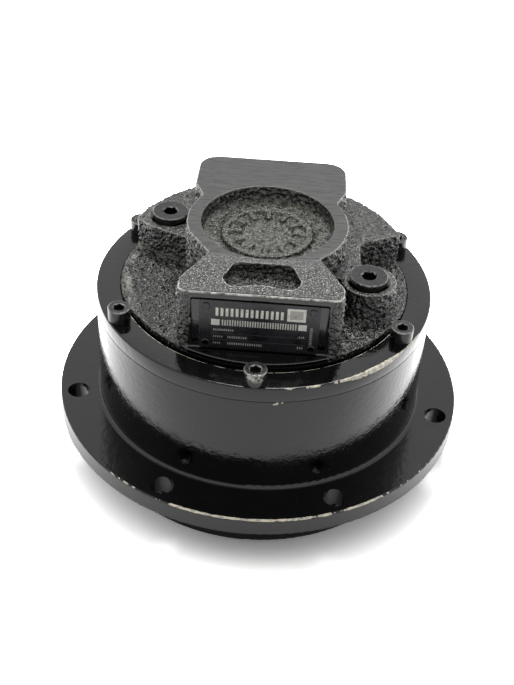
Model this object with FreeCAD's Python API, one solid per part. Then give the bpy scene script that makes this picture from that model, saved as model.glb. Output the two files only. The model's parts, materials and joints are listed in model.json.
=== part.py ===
import FreeCAD, Part
import math
import os

# Hydraulic drive motor: a radial piston motor in a round flanged housing.
# The origin is the centre of the mounting flange's seat, its lower face.
# +Z runs up the shaft axis to the cast rear cover, and -Y is the nameplate side.
# All lengths are millimetres and all angles are degrees.

Vec = FreeCAD.Vector
ORIGIN = Vec(0, 0, 0)
UP = Vec(0, 0, 1)

# Clearances between pieces
press_gap = 0.01
slide_gap = 0.03
running_gap = 0.05
roller_gap = 0.12
seal_gap = 0.1
face_gap = 0.05

# How far a cutter runs past a face, and a joined piece into its neighbour
past = 1.0

# The direction of the ports, where each ring of screws, holes and ribs starts
full_turn = 360.0
rear_angle = 90.0

# Edge breaks and rounds that many pieces share
fine_edge = 0.4
turned_edge = 1.0

# Mounting flange, pilot and barrel of the housing
flange_thickness = 12.0
flange_edge = 1.0
flange_bolt_offset = 14.0
flange_bolt_margin = 11.0
flange_hole_radius = 6.75
flange_hole_count = 7
pilot_step = 2.5
pilot_height = 8.0
cam_seat_wall = 18.0
barrel_root_round = 2.5
barrel_wall = 24.0
bearing_tube_wall = 9.0
core_floor = 16.0
core_round = 4.0
rib_thickness = 8.0
rib_count = 6
rib_drop = 2.0

# Output hub
hub_radius = 102.0
hub_thickness = 21.0
hub_gap = 1.5
hub_edge = 2.0
hub_register_radius = 60.0
hub_register_depth = 6.0
register_round = 0.3
register_edge = 0.5
hub_relief_radius = 34.0
hub_relief_depth = 12.0
hub_relief_round = 3.0
hub_bolt_margin = 19.5
hub_hole_radius = 7.0
hub_hole_count = 8
journal_step = 10.5
journal_round = 1.5
bearing_shoulder_step = 5.5
land_height = 2.5
spline_major_radius = 20.0
spline_minor_radius = 17.6
spline_teeth = 18
spline_recess = 1.0
spline_root_share = 0.30
spline_tip_share = 0.20

# Shaft seal
seal_width = 13.0
seal_height = 8.0
seal_inset = 0.5
seal_case = 1.5
seal_edge = 0.6
seal_lip_height = 6.5
seal_lip_width = 1.0
seal_lip_slope = 1.5
garter_radius = 0.9

# Tapered roller bearings, two alike, back to back
bearing_bore_radius = 32.5
bearing_outer_radius = 50.0
bearing_width = 23.0
cup_width = 17.5
bearing_land = 0.5
cup_rib_height = 3.0
cup_rib_depth = 4.0
roller_count = 22
roller_length = 15.0
roller_share = 0.24
roller_taper = 0.6
roller_tilt = 11.0
cage_thickness = 1.2
cage_end = 1.6
cage_window_gap = 0.3
cone_rib = 2.2

# Retaining ring above the bearings
ring_thickness = 2.5
ring_lip = 3.5
ring_groove_depth = 2.0
ring_opening = 9.0

# Cylinder block, pistons and cam ring
block_gap = 1.0
block_retreat = 2.3
cylinder_block_height = 26.0
bore_height = 11.0
bore_floor_wall = 7.0
block_relief_radius = 35.0
block_relief_depth = 2.0
piston_count = 8
piston_radius = 8.0
piston_length = 25.0
piston_floor_gap = 3.5
piston_hollow_radius = 3.5
piston_hollow_depth = 9.0
piston_ring_width = 2.0
piston_ring_depth = 1.2
piston_ring_offset = 5.0
cam_roller_radius = 5.0
cam_roller_length = 12.0
cam_roller_retreat = 0.7
cradle_overlap = 1.2
cam_lift = 6.0
cam_lobes = 6
cam_height = 22.0
cam_wall = 16.0
cam_pin_radius = 2.5
cam_pin_inset = 6.0
cam_pin_depth = 5.0
cam_pin_count = 2
cam_points_per_lobe = 8
cam_roller_edge = 0.6

# Rear cover: flange, groove, plateau, decks and hourglass head
cover_flange_thickness = 9.5
cover_edge = 1.0
spigot_height = 2.0
spigot_wall = 11.0
cavity_height = 3.0
rim_width = 14.0
rim_groove_width = 5.5
rim_groove_depth = 3.0
rim_groove_offset = 7.6
deck_gap = 0.5
deck_height = 1.5
deck_edge = 1.2
plateau_height = 20.0
plateau_edge = 0.8
left_wall_y = 21.0
left_wall_x = 71.0
left_wall_root = 11.0
left_wall_round = 12.0
right_wall_y = 17.5
right_wall_x = 56.0
right_wall_angle = 27.0
right_wall_round = 5.0
boss_x = 60.5
boss_radius = 16.0
boss_draft = 1.2
right_boss_y = -20.0
left_plug_y = 35.0
head_height = 39.0
head_half_width = 45.5
head_back = 77.5
head_front = 69.5
head_back_round = 12.0
head_front_round = 9.0
notch_half_width = 41.0
notch_y = 32.0
notch_round = 1.0
shoulder_half_width = 46.0
shoulder_y = 44.0
shoulder_round = 3.0
waist_half_width = 31.5
waist_y = -30.5
waist_round = 1.5
toe_y = -57.5
toe_round = 4.0
bulge_radius = 47.3
bulge_y = 5.5
flank_flat_y = -6.5

# Hollows in the top of the head
dish_radius = 39.0
dish_depth = 10.0
dish_draft = 1.0
dish_round = 2.0
dial_radius = 27.0
dial_height = 3.0
dial_width = 4.0
dial_tick_count = 12
dial_tick_width = 3.0
dial_tick_length = 8.0
pocket_half_top = 16.0
pocket_half_bottom = 22.0
pocket_back = -38.5
pocket_front = -62.0
pocket_dip = 3.7
pocket_depth = 8.0
pocket_shoulder = 7.0
pocket_lobe = 5.0
pocket_round = 5.0
pocket_lobe_round = 3.5
pocket_front_round = 30.0

# Nameplate and its pins
pad_side_margin = 5.0
pad_depth = 0.8
pad_top_margin = 4.2
pad_bottom_margin = 0.8
plate_half_width = 33.0
plate_height = 32.5
plate_thickness = 1.0
plate_margin = 0.4
plate_corner = 1.5
name_pin_radius = 1.2
name_pin_head = 2.2
name_pin_head_height = 0.8
name_pin_length = 5.0
name_pin_inset_x = 3.8
name_pin_inset_z = 4.0

# Cover screws
screw_count = 6
screw_radius = 4.0
screw_hole_radius = 4.5
screw_head_radius = 6.5
screw_head_height = 8.0
screw_socket_width = 6.0
screw_socket_depth = 4.0
screw_reach = 18.0
screw_head_edge = 0.8
socket_mouth = 0.25
tap_extra = 4.0

# Drain plugs on the plateau and the boss
plug_radius = 8.0
plug_length = 12.0
plug_collar_radius = 11.0
plug_collar_height = 3.0
plug_collar_edge = 0.8
plug_socket_width = 8.0
plug_socket_depth = 6.0
spotface_radius = 13.0
spotface_depth = 0.8
plug_seal_thickness = 1.0
plug_seal_radius = 10.4
drain_radius = 5.0

# Main ports on the back of the head
port_x = 18.0
port_height = 17.5
port_thread_radius = 10.5
port_thread_length = 15.0
port_drill_radius = 6.5
port_face_radius = 14.5
port_face_depth = 0.6
port_a_reach = 42.0
port_b_reach = 34.0
link_radius = 4.0

# Cover seal between housing and cover
cover_seal_offset = 3.5
cover_seal_radius = 1.2
cover_groove_width = 3.0

# Distributor and what holds it
distributor_overhangs = (9.0, 3.0, -3.0)
distributor_steps = (10.5, 9.0, 8.5)
distributor_bore = 12.0
ring_main_depth = 3.0
ring_main_width = 4.5
ring_main_offset = 3.0
cover_main_depth = 4.0
timing_inset = 6.0
timing_hole_radius = 3.5
timing_link_radius = 2.2
block_port_radius = 3.0
ring_seal_width = 2.0
ring_seal_depth = 2.2
spring_inner_radius = 13.5
spring_outer_radius = 20.5
spring_thickness = 1.0
spring_height = 2.0
lock_pin_radius = 2.0
lock_pin_offset = 3.5
lock_pin_depth = 3.0

# Radii that follow from the pieces round the shaft, from the inside out
roller_mean_radius = (bearing_outer_radius - bearing_bore_radius) * roller_share
roller_large_radius = roller_mean_radius + roller_taper / 2
roller_small_radius = roller_mean_radius - roller_taper / 2
journal_radius = bearing_bore_radius + journal_step
bearing_shoulder_radius = bearing_bore_radius + bearing_shoulder_step
seal_radius = journal_radius + seal_width
ring_outer_radius = bearing_bore_radius + ring_lip
bore_floor_radius = spline_major_radius + bore_floor_wall
roller_center_radius = bore_floor_radius + piston_floor_gap + piston_length - cradle_overlap
cylinder_block_radius = roller_center_radius - block_retreat
cam_mean_radius = roller_center_radius + cam_roller_retreat + cam_roller_radius + cam_lift / 2
cam_outer_radius = cam_mean_radius + cam_lift / 2 + cam_wall
cam_pin_circle = cam_outer_radius - cam_pin_inset
spigot_inner_radius = cam_outer_radius - spigot_wall
cover_seal_circle = cam_outer_radius + cover_seal_offset
barrel_radius = cam_outer_radius + cam_seat_wall
pilot_radius = barrel_radius + pilot_step
flange_bolt_circle = barrel_radius + flange_bolt_offset
flange_radius = flange_bolt_circle + flange_bolt_margin
rim_inner_radius = barrel_radius - rim_width
screw_circle = barrel_radius - rim_width / 2
deck_radius = rim_inner_radius - deck_gap
timing_circle = bore_floor_radius + timing_inset
distributor_radii = tuple(timing_circle + overhang for overhang in distributor_overhangs)
lock_pin_circle = spring_outer_radius + lock_pin_offset
hub_bolt_circle = hub_radius - hub_bolt_margin
pad_half_width = plate_half_width + pad_side_margin

# Heights that follow from the pieces stacked on the shaft axis
seal_z = -pilot_height + seal_inset
lower_bearing_z = seal_z + seal_height + bearing_land
rib_z = lower_bearing_z + bearing_width
upper_bearing_z = rib_z + cup_rib_height + bearing_width
ring_z = upper_bearing_z
block_z = ring_z + ring_thickness + block_gap
bore_z = block_z + bore_height
cam_z = bore_z - cam_height / 2
seam_z = cam_z + cam_height + spigot_height
rim_z = seam_z + cover_flange_thickness
deck_z = rim_z + deck_height
plateau_z = rim_z + plateau_height
head_z = rim_z + head_height
block_top_z = block_z + cylinder_block_height
distributor_z = block_top_z + face_gap
distributor_top_z = distributor_z + sum(distributor_steps)
cavity_z = seam_z + cavity_height
port_z = rim_z + port_height
hub_top_z = -pilot_height - hub_gap
hub_face_z = hub_top_z - hub_thickness


def polar(radius, angle, z=0.0):
    """A point at a radius and an angle round the shaft axis."""
    turn = math.radians(angle)
    return Vec(radius * math.cos(turn), radius * math.sin(turn), z)


def turned(shape, angle, center=ORIGIN, axis=UP):
    """A copy of a shape turned about an axis."""
    copy = shape.copy()
    copy.rotate(center, axis, angle)
    return copy


def ring_of(shape, count, start=0.0):
    """Copies of a shape spaced evenly round the shaft axis."""
    return [turned(shape, start + full_turn * k / count) for k in range(count)]


def fused(shapes):
    """One clean solid or compound from overlapping shapes."""
    return shapes[0].fuse(shapes[1:]).removeSplitter()


def rounded_wire(corners, place):
    """A closed wire of straight sides, with an arc at each corner that has a radius.

    A corner is (a, b) or (a, b, radius), and place turns (a, b) into a point.
    An arc never takes more than half of a side.
    """
    count = len(corners)
    spots = []
    for k, corner in enumerate(corners):
        here = Vec(corner[0], corner[1], 0)
        radius = corner[2] if len(corner) > 2 else 0.0
        before = Vec(*corners[k - 1][:2], 0) - here
        after = Vec(*corners[(k + 1) % count][:2], 0) - here
        if radius <= 0:
            spots.append((here, None, here))
            continue
        half = before.getAngle(after) / 2
        reach = min(radius / math.tan(half), 0.49 * before.Length, 0.49 * after.Length)
        first = here + before.normalize() * reach
        last = here + after.normalize() * reach
        toward = (first + last) * 0.5 - here
        depth = reach / math.cos(half) - reach * math.tan(half)
        middle = here + toward.normalize() * depth
        spots.append((first, middle, last))
    edges = []
    for k, (first, middle, last) in enumerate(spots):
        if middle is not None:
            points = [place(p.x, p.y) for p in (first, middle, last)]
            edges.append(Part.Arc(*points).toShape())
        start = spots[(k + 1) % count][0]
        if (start - last).Length > 1e-6:
            edges.append(Part.makeLine(place(last.x, last.y), place(start.x, start.y)))
    return Part.Wire(edges)


def lathe(*corners):
    """A solid of revolution about the shaft axis, from corners (radius, height)."""
    wire = rounded_wire(corners, lambda r, z: Vec(r, 0, z))
    return Part.Face(wire).revolve(ORIGIN, UP, full_turn)


def prism(corners, z0, z1):
    """An upright prism from corners (x, y)."""
    wire = rounded_wire(corners, lambda x, y: Vec(x, y, z0))
    return Part.Face(wire).extrude(Vec(0, 0, z1 - z0))


def rod(radius, z0, z1, x=0.0, y=0.0):
    """An upright cylinder between two heights."""
    return Part.makeCylinder(radius, z1 - z0, Vec(x, y, z0))


def tube(inner, outer, z0, z1):
    """An upright tube between two heights."""
    return rod(outer, z0, z1).cut(rod(inner, z0, z1))


def box(x0, x1, y0, y1, z0, z1):
    """A box between six planes."""
    return Part.makeBox(x1 - x0, y1 - y0, z1 - z0, Vec(x0, y0, z0))


def hexagon(width, z0, z1, x=0.0, y=0.0):
    """A hexagonal prism with a width across its flats."""
    radius = width / math.sqrt(3)
    corners = []
    for k in range(6):
        p = polar(radius, 60 * k)
        corners.append((x + p.x, y + p.y))
    return prism(corners, z0, z1)


def hex_socket(width, depth, top_z):
    """A hexagon socket below a height, with a short cone that opens its mouth."""
    flat = width / 2
    mouth = width / math.sqrt(3) + socket_mouth
    cone = Part.makeCone(flat, mouth, mouth - flat, Vec(0, 0, top_z - mouth + flat))
    return [hexagon(width, top_z - depth, top_z + past), cone]


# Bearings

class BearingLine:
    """The slanted centre line of a bearing's rollers, seen in a half section."""

    def __init__(self):
        self.radius = (bearing_bore_radius + bearing_outer_radius) / 2
        self.height = bearing_width / 2
        self.tilt = math.radians(roller_tilt)

    def roller_radius(self, along):
        """The roller's radius at a place along it, from its middle to its small end."""
        return roller_mean_radius - roller_taper * along / roller_length

    def point(self, along, off=0.0):
        """Radius and height of a point along the line, and off it to the outside."""
        r = self.radius - along * math.sin(self.tilt) + off * math.cos(self.tilt)
        h = self.height + along * math.cos(self.tilt) + off * math.sin(self.tilt)
        return (r, h)

    def race(self, side, gap):
        """Two points of a raceway, outside the rollers (side 1) or inside them (-1)."""
        ends = []
        for along in (-roller_length / 2, roller_length / 2):
            ends.append(self.point(along, side * (self.roller_radius(along) + gap)))
        return ends


def on_line(ends, height):
    """Radius at a height on the line through two points (radius, height)."""
    (r0, h0), (r1, h1) = ends
    return r0 + (r1 - r0) * (height - h0) / (h1 - h0)


def bearing_cup():
    """The outer ring, with its cone face at height zero of the bearing."""
    race = BearingLine().race(1, roller_gap)
    low = bearing_width - cup_width
    outer = bearing_outer_radius - press_gap
    return lathe((outer, low, turned_edge), (outer, bearing_width, turned_edge),
                 (on_line(race, bearing_width), bearing_width, fine_edge),
                 (on_line(race, low), low, fine_edge))


def bearing_cone():
    """The inner ring with its two ribs, large rib at height zero."""
    line = BearingLine()
    race = line.race(-1, roller_gap)
    large = line.point(-roller_length / 2 - 2 * roller_gap, -roller_large_radius)
    small = line.point(roller_length / 2 + 2 * roller_gap, -roller_small_radius)
    rise = math.tan(line.tilt)
    inner = bearing_bore_radius + press_gap
    low_rib = large[0] + cone_rib
    high_rib = small[0] + cone_rib / 2
    return lathe((inner, 0, turned_edge), (low_rib, 0, fine_edge), (low_rib, large[1] + cone_rib * rise),
                 (on_line(race, large[1]), large[1]), (on_line(race, small[1]), small[1]),
                 (high_rib, small[1] + cone_rib / 2 * rise), (high_rib, bearing_width),
                 (inner, bearing_width, turned_edge))


def bearing_roller(grow=0.0):
    """One tapered roller at angle zero, or the window that it needs in the cage."""
    line = BearingLine()
    start = line.point(-roller_length / 2 - grow)
    end = line.point(roller_length / 2 + grow)
    direction = Vec(end[0] - start[0], 0, end[1] - start[1])
    return Part.makeCone(roller_large_radius + grow, roller_small_radius + grow, direction.Length,
                         Vec(start[0], 0, start[1]), direction)


def bearing_cage():
    """The conical cage, with a window for each roller."""
    line = BearingLine()
    reach = roller_length / 2 + cage_end
    half = cage_thickness / 2
    shell = lathe(line.point(-reach, -half), line.point(-reach, half),
                  line.point(reach, half), line.point(reach, -half))
    windows = ring_of(bearing_roller(cage_window_gap), roller_count)
    return shell.cut(windows)


def seated_bearing(shape, upper):
    """Puts a bearing piece in its seat; the upper bearing is the lower one upside down."""
    copy = shape.copy()
    if upper:
        copy.rotate(ORIGIN, Vec(1, 0, 0), 180)
        copy.translate(Vec(0, 0, upper_bearing_z))
    else:
        copy.translate(Vec(0, 0, lower_bearing_z))
    return copy


# Housing

def housing():
    """Flange, pilot, barrel and bearing tube, turned and then drilled."""
    cup_seat = bearing_outer_radius
    rib_radius = cup_seat - cup_rib_depth
    seal_pocket = seal_radius + press_gap
    pocket_z = seal_z + seal_height
    tube_radius = cup_seat + bearing_tube_wall
    cam_seat = cam_outer_radius + slide_gap
    core_radius = barrel_radius - barrel_wall
    body = lathe((seal_pocket, -pilot_height), (pilot_radius, -pilot_height, turned_edge), (pilot_radius, 0),
                 (flange_radius, 0, flange_edge), (flange_radius, flange_thickness, flange_edge),
                 (barrel_radius, flange_thickness, barrel_root_round), (barrel_radius, seam_z, fine_edge),
                 (cam_seat, seam_z), (cam_seat, cam_z), (core_radius, cam_z),
                 (core_radius, core_floor, core_round), (tube_radius, core_floor, core_round),
                 (tube_radius, upper_bearing_z - bearing_land, turned_edge),
                 (cup_seat, upper_bearing_z - bearing_land),
                 (cup_seat, rib_z + cup_rib_height), (rib_radius, rib_z + cup_rib_height),
                 (rib_radius, rib_z), (cup_seat, rib_z), (cup_seat, pocket_z), (seal_pocket, pocket_z))
    rib = box(tube_radius - past, core_radius + past, -rib_thickness / 2, rib_thickness / 2,
              core_floor - past, cam_z - rib_drop)
    body = fused([body] + ring_of(rib, rib_count, rear_angle))
    hole = rod(flange_hole_radius, -past, flange_thickness + past, flange_bolt_circle)
    tap = rod(screw_radius + running_gap, seam_z - screw_reach - tap_extra, seam_z + past, screw_circle)
    groove = tube(cover_seal_circle - cover_groove_width / 2, cover_seal_circle + cover_groove_width / 2,
                  seam_z - 2 * cover_seal_radius - face_gap, seam_z + past)
    cuts = ring_of(hole, flange_hole_count, rear_angle) + ring_of(tap, screw_count, rear_angle)
    return body.cut(cuts + [groove])


# Output side

def spline_corners(grow):
    """The splined outline of the shaft end, or of its hole when grow is the clearance."""
    root = spline_minor_radius + grow
    tip = spline_major_radius + grow
    pitch = full_turn / spline_teeth
    extra = math.degrees(grow / spline_major_radius)
    corners = []
    for k in range(spline_teeth):
        middle = pitch * k
        for side, radii in ((-1, (root, tip)), (1, (tip, root))):
            for radius in radii:
                share = spline_root_share if radius == root else spline_tip_share
                p = polar(radius, middle + side * (share * pitch + extra))
                corners.append((p.x, p.y))
    return corners


def output_hub():
    """Wheel flange, seal journal, bearing seats and splined end in one forging."""
    seat = bearing_bore_radius
    groove_radius = seat - ring_groove_depth
    land_z = ring_z + ring_thickness
    end_z = land_z + land_height
    body = lathe((0, hub_face_z + hub_register_depth + hub_relief_depth),
                 (hub_relief_radius, hub_face_z + hub_register_depth + hub_relief_depth, hub_relief_round),
                 (hub_relief_radius, hub_face_z + hub_register_depth, turned_edge),
                 (hub_register_radius, hub_face_z + hub_register_depth, register_round),
                 (hub_register_radius, hub_face_z, register_edge), (hub_radius, hub_face_z, hub_edge),
                 (hub_radius, hub_top_z, turned_edge), (journal_radius, hub_top_z, journal_round),
                 (journal_radius, lower_bearing_z - bearing_land, turned_edge),
                 (bearing_shoulder_radius, lower_bearing_z - bearing_land),
                 (bearing_shoulder_radius, lower_bearing_z), (seat, lower_bearing_z),
                 (seat, ring_z), (groove_radius, ring_z), (groove_radius, land_z),
                 (seat, land_z), (seat, end_z, fine_edge), (0, end_z))
    shaft = prism(spline_corners(0), end_z - past, block_top_z - spline_recess)
    body = fused([body, shaft])
    hole = rod(hub_hole_radius, hub_face_z - past, hub_top_z + past, hub_bolt_circle)
    return body.cut(ring_of(hole, hub_hole_count))


def shaft_seal():
    """A lip seal: a metal-backed case and a lip that rides on the journal."""
    outer = seal_radius
    lip = journal_radius + running_gap
    top = seal_z + seal_height
    lip_z = seal_z + seal_lip_height
    throat = (outer + lip) / 2
    web_z = seal_z + 2 * seal_case
    return lathe((outer, seal_z, seal_edge), (outer, top), (outer - seal_case, top),
                 (outer - seal_case, web_z), (throat, web_z, turned_edge), (throat - seal_case, lip_z),
                 (lip + seal_lip_width, lip_z), (lip, lip_z - seal_lip_slope),
                 (lip + seal_lip_slope, web_z, turned_edge),
                 (lip + seal_lip_slope + seal_lip_width, seal_z, seal_edge))


def garter_spring():
    """The spring ring that holds the seal's lip to the journal."""
    outer = seal_radius
    lip = journal_radius + running_gap
    throat = (outer + lip) / 2 - seal_case
    center = (throat + lip + seal_lip_width) / 2
    z = seal_z + seal_lip_height + garter_radius
    return Part.makeTorus(center, garter_radius, Vec(0, 0, z))


def retaining_ring():
    """An open spring ring in the shaft groove, above the upper bearing's cone."""
    inner = bearing_bore_radius - ring_groove_depth + slide_gap
    ring = tube(inner, ring_outer_radius, ring_z + face_gap, ring_z + ring_thickness - face_gap)
    gap = box(0, ring_outer_radius + past, -ring_opening / 2, ring_opening / 2,
              ring_z - past, ring_z + ring_thickness + past)
    return ring.cut(gap)


# Cylinder block and pistons

def cylinder_block():
    """Turned block with radial bores, ports to the distributor and a splined hole."""
    body = rod(cylinder_block_radius, block_z, block_top_z)
    body = body.makeChamfer(turned_edge, [edge for edge in body.Edges if edge.Closed])
    reach = cylinder_block_radius - bore_floor_radius + past
    bore = Part.makeCylinder(piston_radius, reach, Vec(bore_floor_radius, 0, bore_z), Vec(1, 0, 0))
    port = rod(block_port_radius, bore_z, block_top_z + past, timing_circle)
    relief = rod(block_relief_radius, block_z - past, block_z + block_relief_depth)
    spline = prism(spline_corners(slide_gap), block_z - past, block_top_z + past)
    cuts = ring_of(bore, piston_count) + ring_of(port, piston_count)
    return body.cut(cuts + [relief, spline])


def pistons():
    """Stepped pistons, each with a cradle for its cam roller, drawn in to clear the cam."""
    outer = roller_center_radius + cradle_overlap
    inner = outer - piston_length
    radius = piston_radius - slide_gap
    body = Part.makeCylinder(radius, piston_length, Vec(inner, 0, bore_z), Vec(1, 0, 0))
    cradle_half = piston_radius + past
    cradle = rod(cam_roller_radius + running_gap, bore_z - cradle_half, bore_z + cradle_half,
                 roller_center_radius)
    hollow = Part.makeCylinder(piston_hollow_radius, piston_hollow_depth,
                               Vec(inner, 0, bore_z), Vec(1, 0, 0))
    place = Vec(inner + piston_ring_offset, 0, bore_z)
    groove = Part.makeCylinder(piston_radius + past, piston_ring_width, place, Vec(1, 0, 0))
    core = Part.makeCylinder(piston_radius - piston_ring_depth, piston_ring_width, place, Vec(1, 0, 0))
    piston = body.cut([cradle, hollow, groove.cut(core)])
    return ring_of(piston, piston_count)


def piston_rings():
    """One square-section ring in each piston's groove."""
    inner = roller_center_radius + cradle_overlap - piston_length
    start = Vec(inner + piston_ring_offset + face_gap, 0, bore_z)
    width = piston_ring_width - 2 * face_gap
    outer = Part.makeCylinder(piston_radius - press_gap, width, start, Vec(1, 0, 0))
    core = Part.makeCylinder(piston_radius - piston_ring_depth + seal_gap, width, start, Vec(1, 0, 0))
    return ring_of(outer.cut(core), piston_count)


def cam_rollers():
    """The rollers that the pistons press on the cam, one in each cradle."""
    half = cam_roller_length / 2
    roller = rod(cam_roller_radius, bore_z - half, bore_z + half, roller_center_radius)
    roller = roller.makeChamfer(cam_roller_edge, [edge for edge in roller.Edges if edge.Closed])
    return ring_of(roller, piston_count)


def cam_ring():
    """The ring whose wavy inside pushes the pistons in and out as the block turns."""
    total = cam_lobes * cam_points_per_lobe
    points = []
    for k in range(total):
        angle = full_turn * k / total
        wave = math.cos(math.radians(cam_lobes * angle))
        points.append(polar(cam_mean_radius + cam_lift / 2 * wave, angle, cam_z))
    curve = Part.BSplineCurve()
    curve.interpolate(Points=points, PeriodicFlag=True)
    hollow = Part.Face(Part.Wire(curve.toShape())).extrude(Vec(0, 0, cam_height))
    ring = rod(cam_outer_radius, cam_z, cam_z + cam_height).cut(hollow)
    pin = rod(cam_pin_radius + slide_gap, cam_z + cam_height - cam_pin_depth,
              cam_z + cam_height + past, cam_pin_circle)
    return ring.cut(ring_of(pin, cam_pin_count, cam_pin_start()))


def cam_pin_start():
    """The angle of the first cam pin, at a crest of the cam, where the ring is thick."""
    return full_turn / cam_lobes / 2


def cam_pins():
    """Dowels that hold the cam ring against turning in the cover."""
    low = cam_z + cam_height - cam_pin_depth + seal_gap
    high = cam_z + cam_height + cam_pin_depth - seal_gap
    return ring_of(rod(cam_pin_radius, low, high, cam_pin_circle), cam_pin_count, cam_pin_start())


# Rear cover

def head_outline():
    """Plan of the hourglass head, without the bulge round its dish."""
    right = [(notch_half_width, notch_y, notch_round), (shoulder_half_width, shoulder_y, shoulder_round),
             (head_half_width, head_back, head_back_round)]
    left = [(-x, y, r) for x, y, r in reversed(right)]
    toe = [(-waist_half_width, waist_y, waist_round), (-head_half_width, toe_y, toe_round),
           (-head_half_width, -head_front, head_front_round)]
    heel = [(-x, y, r) for x, y, r in reversed(toe)]
    return right + left + toe + heel


def head():
    """The hourglass head, with the flat on its left flank."""
    outline = prism(head_outline(), rim_z - past, head_z)
    bulge = rod(bulge_radius, rim_z - past, head_z, 0, bulge_y)
    beyond = 2 * bulge_radius
    flat = prism([(-bulge_radius, flank_flat_y), (-waist_half_width, waist_y), (-beyond, waist_y),
                  (-beyond, flank_flat_y)], rim_z - 2 * past, head_z + past)
    return fused([outline, bulge.cut(flat)])


def plateau():
    """The high rear part of the cover, which ends in a wall on each side."""
    far = 2 * rim_inner_radius
    right_rise = (far - right_wall_x) * math.tan(math.radians(right_wall_angle))
    corners = [(far, right_wall_y + right_rise), (right_wall_x, right_wall_y, right_wall_round),
               (right_wall_x, right_boss_y), (0, right_boss_y), (-bulge_radius, left_wall_root),
               (-left_wall_x, left_wall_y, left_wall_round), (-far, left_wall_y + far - left_wall_x),
               (-far, far), (far, far)]
    sector = prism(corners, rim_z - past, plateau_z)
    drum = lathe((0, rim_z - past), (rim_inner_radius, rim_z - past),
                 (rim_inner_radius, plateau_z, plateau_edge), (0, plateau_z))
    return sector.common(drum)


def cover_outside():
    """Flange, decks, plateau, plug boss and head, before anything is cut."""
    flange = lathe((0, seam_z), (barrel_radius, seam_z, fine_edge), (barrel_radius, rim_z, cover_edge),
                   (0, rim_z))
    deck = lathe((0, rim_z - past), (deck_radius, rim_z - past), (deck_radius, deck_z, deck_edge),
                 (0, deck_z))
    boss = Part.makeCone(boss_radius + boss_draft, boss_radius, plateau_height,
                         Vec(boss_x, right_boss_y, rim_z))
    body = fused([flange, deck, plateau(), boss, head()])
    back = box(-barrel_radius, barrel_radius, head_back, barrel_radius + past, rim_z, head_z + past)
    return body.cut(back)


def rim_groove():
    """The channel in front, between the machined rim and a deck edge cast round a centre further back."""
    floor_z = rim_z - rim_groove_depth
    deck_edge_radius = rim_inner_radius - rim_groove_width + rim_groove_offset
    kept = rod(deck_edge_radius, floor_z - past, deck_z + 2 * past, 0, rim_groove_offset)
    return rod(rim_inner_radius, floor_z, deck_z + past).cut(kept)


def dish():
    """The round hollow in the head, with a plain foundry dial left standing in it."""
    floor_z = head_z - dish_depth
    hollow = lathe((0, floor_z), (dish_radius - dish_draft, floor_z, dish_round),
                   (dish_radius, head_z + past), (0, head_z + past))
    top_z = floor_z + dial_height
    ring = tube(dial_radius - dial_width, dial_radius, floor_z - past, top_z)
    tick = box(dial_radius - dial_width - dial_tick_length, dial_radius - dial_width + past,
               -dial_tick_width / 2, dial_tick_width / 2, floor_z - past, top_z)
    hollow = hollow.cut([ring] + ring_of(tick, dial_tick_count))
    hollow.translate(Vec(0, bulge_y, 0))
    return hollow


def front_pocket():
    """The kidney-shaped hollow between the dish and the nameplate."""
    right = [(pocket_half_top, pocket_back, pocket_round),
             (pocket_half_bottom, pocket_front + pocket_shoulder, pocket_round),
             (pocket_half_bottom - pocket_lobe, pocket_front, pocket_lobe_round)]
    left = [(-x, y, r) for x, y, r in reversed(right)]
    corners = right + [(0, pocket_front + pocket_dip, pocket_front_round)] + left
    return prism(corners, head_z - pocket_depth, head_z + past)


def nameplate_pad():
    """The milled step on the front of the head that takes the nameplate."""
    return box(-pad_half_width, pad_half_width, -head_front - past, -head_front + pad_depth,
               rim_z + pad_bottom_margin, head_z - pad_top_margin)


def port_cuts():
    """Threaded port, drilled way and link down to a ring main, for both ports."""
    cuts = []
    for side, reach in ((1, port_a_reach), (-1, port_b_reach)):
        x = side * port_x
        inward = Vec(0, -1, 0)
        mouth = Vec(x, head_back + past, port_z)
        cuts.append(Part.makeCylinder(port_face_radius, past + port_face_depth, mouth, inward))
        cuts.append(Part.makeCylinder(port_thread_radius, past + port_thread_length, mouth, inward))
        cuts.append(Part.makeCylinder(port_drill_radius, past + head_back - reach, mouth, inward))
    a_main, b_main = ring_main_heights()
    cuts.append(rod(link_radius, a_main, port_z, port_x, port_a_reach))
    cuts.append(rod(link_radius, b_main, port_z, -port_x, port_b_reach))
    return cuts


def ring_main_heights():
    """Heights of the lower edges of the two ring mains round the distributor."""
    first = distributor_z + distributor_steps[0] - ring_main_width - ring_main_offset / 2
    second = distributor_z + sum(distributor_steps[:2]) - ring_main_width - ring_main_offset / 2
    return first, second


def distributor_hollow():
    """The stepped bore that the distributor slides in, with its two ring mains."""
    cuts = []
    low = cavity_z - past
    top = distributor_z
    for radius, step in zip(distributor_radii, distributor_steps):
        top += step
        extra = spring_height if radius == distributor_radii[-1] else 0.0
        cuts.append(rod(radius + slide_gap, low, top + extra))
    for radius, main_z in zip(distributor_radii, ring_main_heights()):
        cuts.append(rod(radius + cover_main_depth, main_z, main_z + ring_main_width))
    cuts.append(rod(lock_pin_radius + slide_gap, distributor_top_z, lock_pin_top(), 0, -lock_pin_circle))
    return cuts


def lock_pin_top():
    """Height of the blind end of the lock pin's hole in the cover."""
    return distributor_top_z + spring_height + lock_pin_depth


def plug_cuts(x, y):
    """Spotface, thread and drain way for one plug."""
    return [rod(spotface_radius, plateau_z - spotface_depth, plateau_z + past, x, y),
            rod(plug_radius + running_gap, plateau_z - plug_length - tap_extra, plateau_z + past, x, y),
            rod(drain_radius, cavity_z - past, plateau_z, x, y)]


def plug_places():
    """Centres of the two drain plugs."""
    return [(-boss_x, left_plug_y), (boss_x, right_boss_y)]


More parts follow.
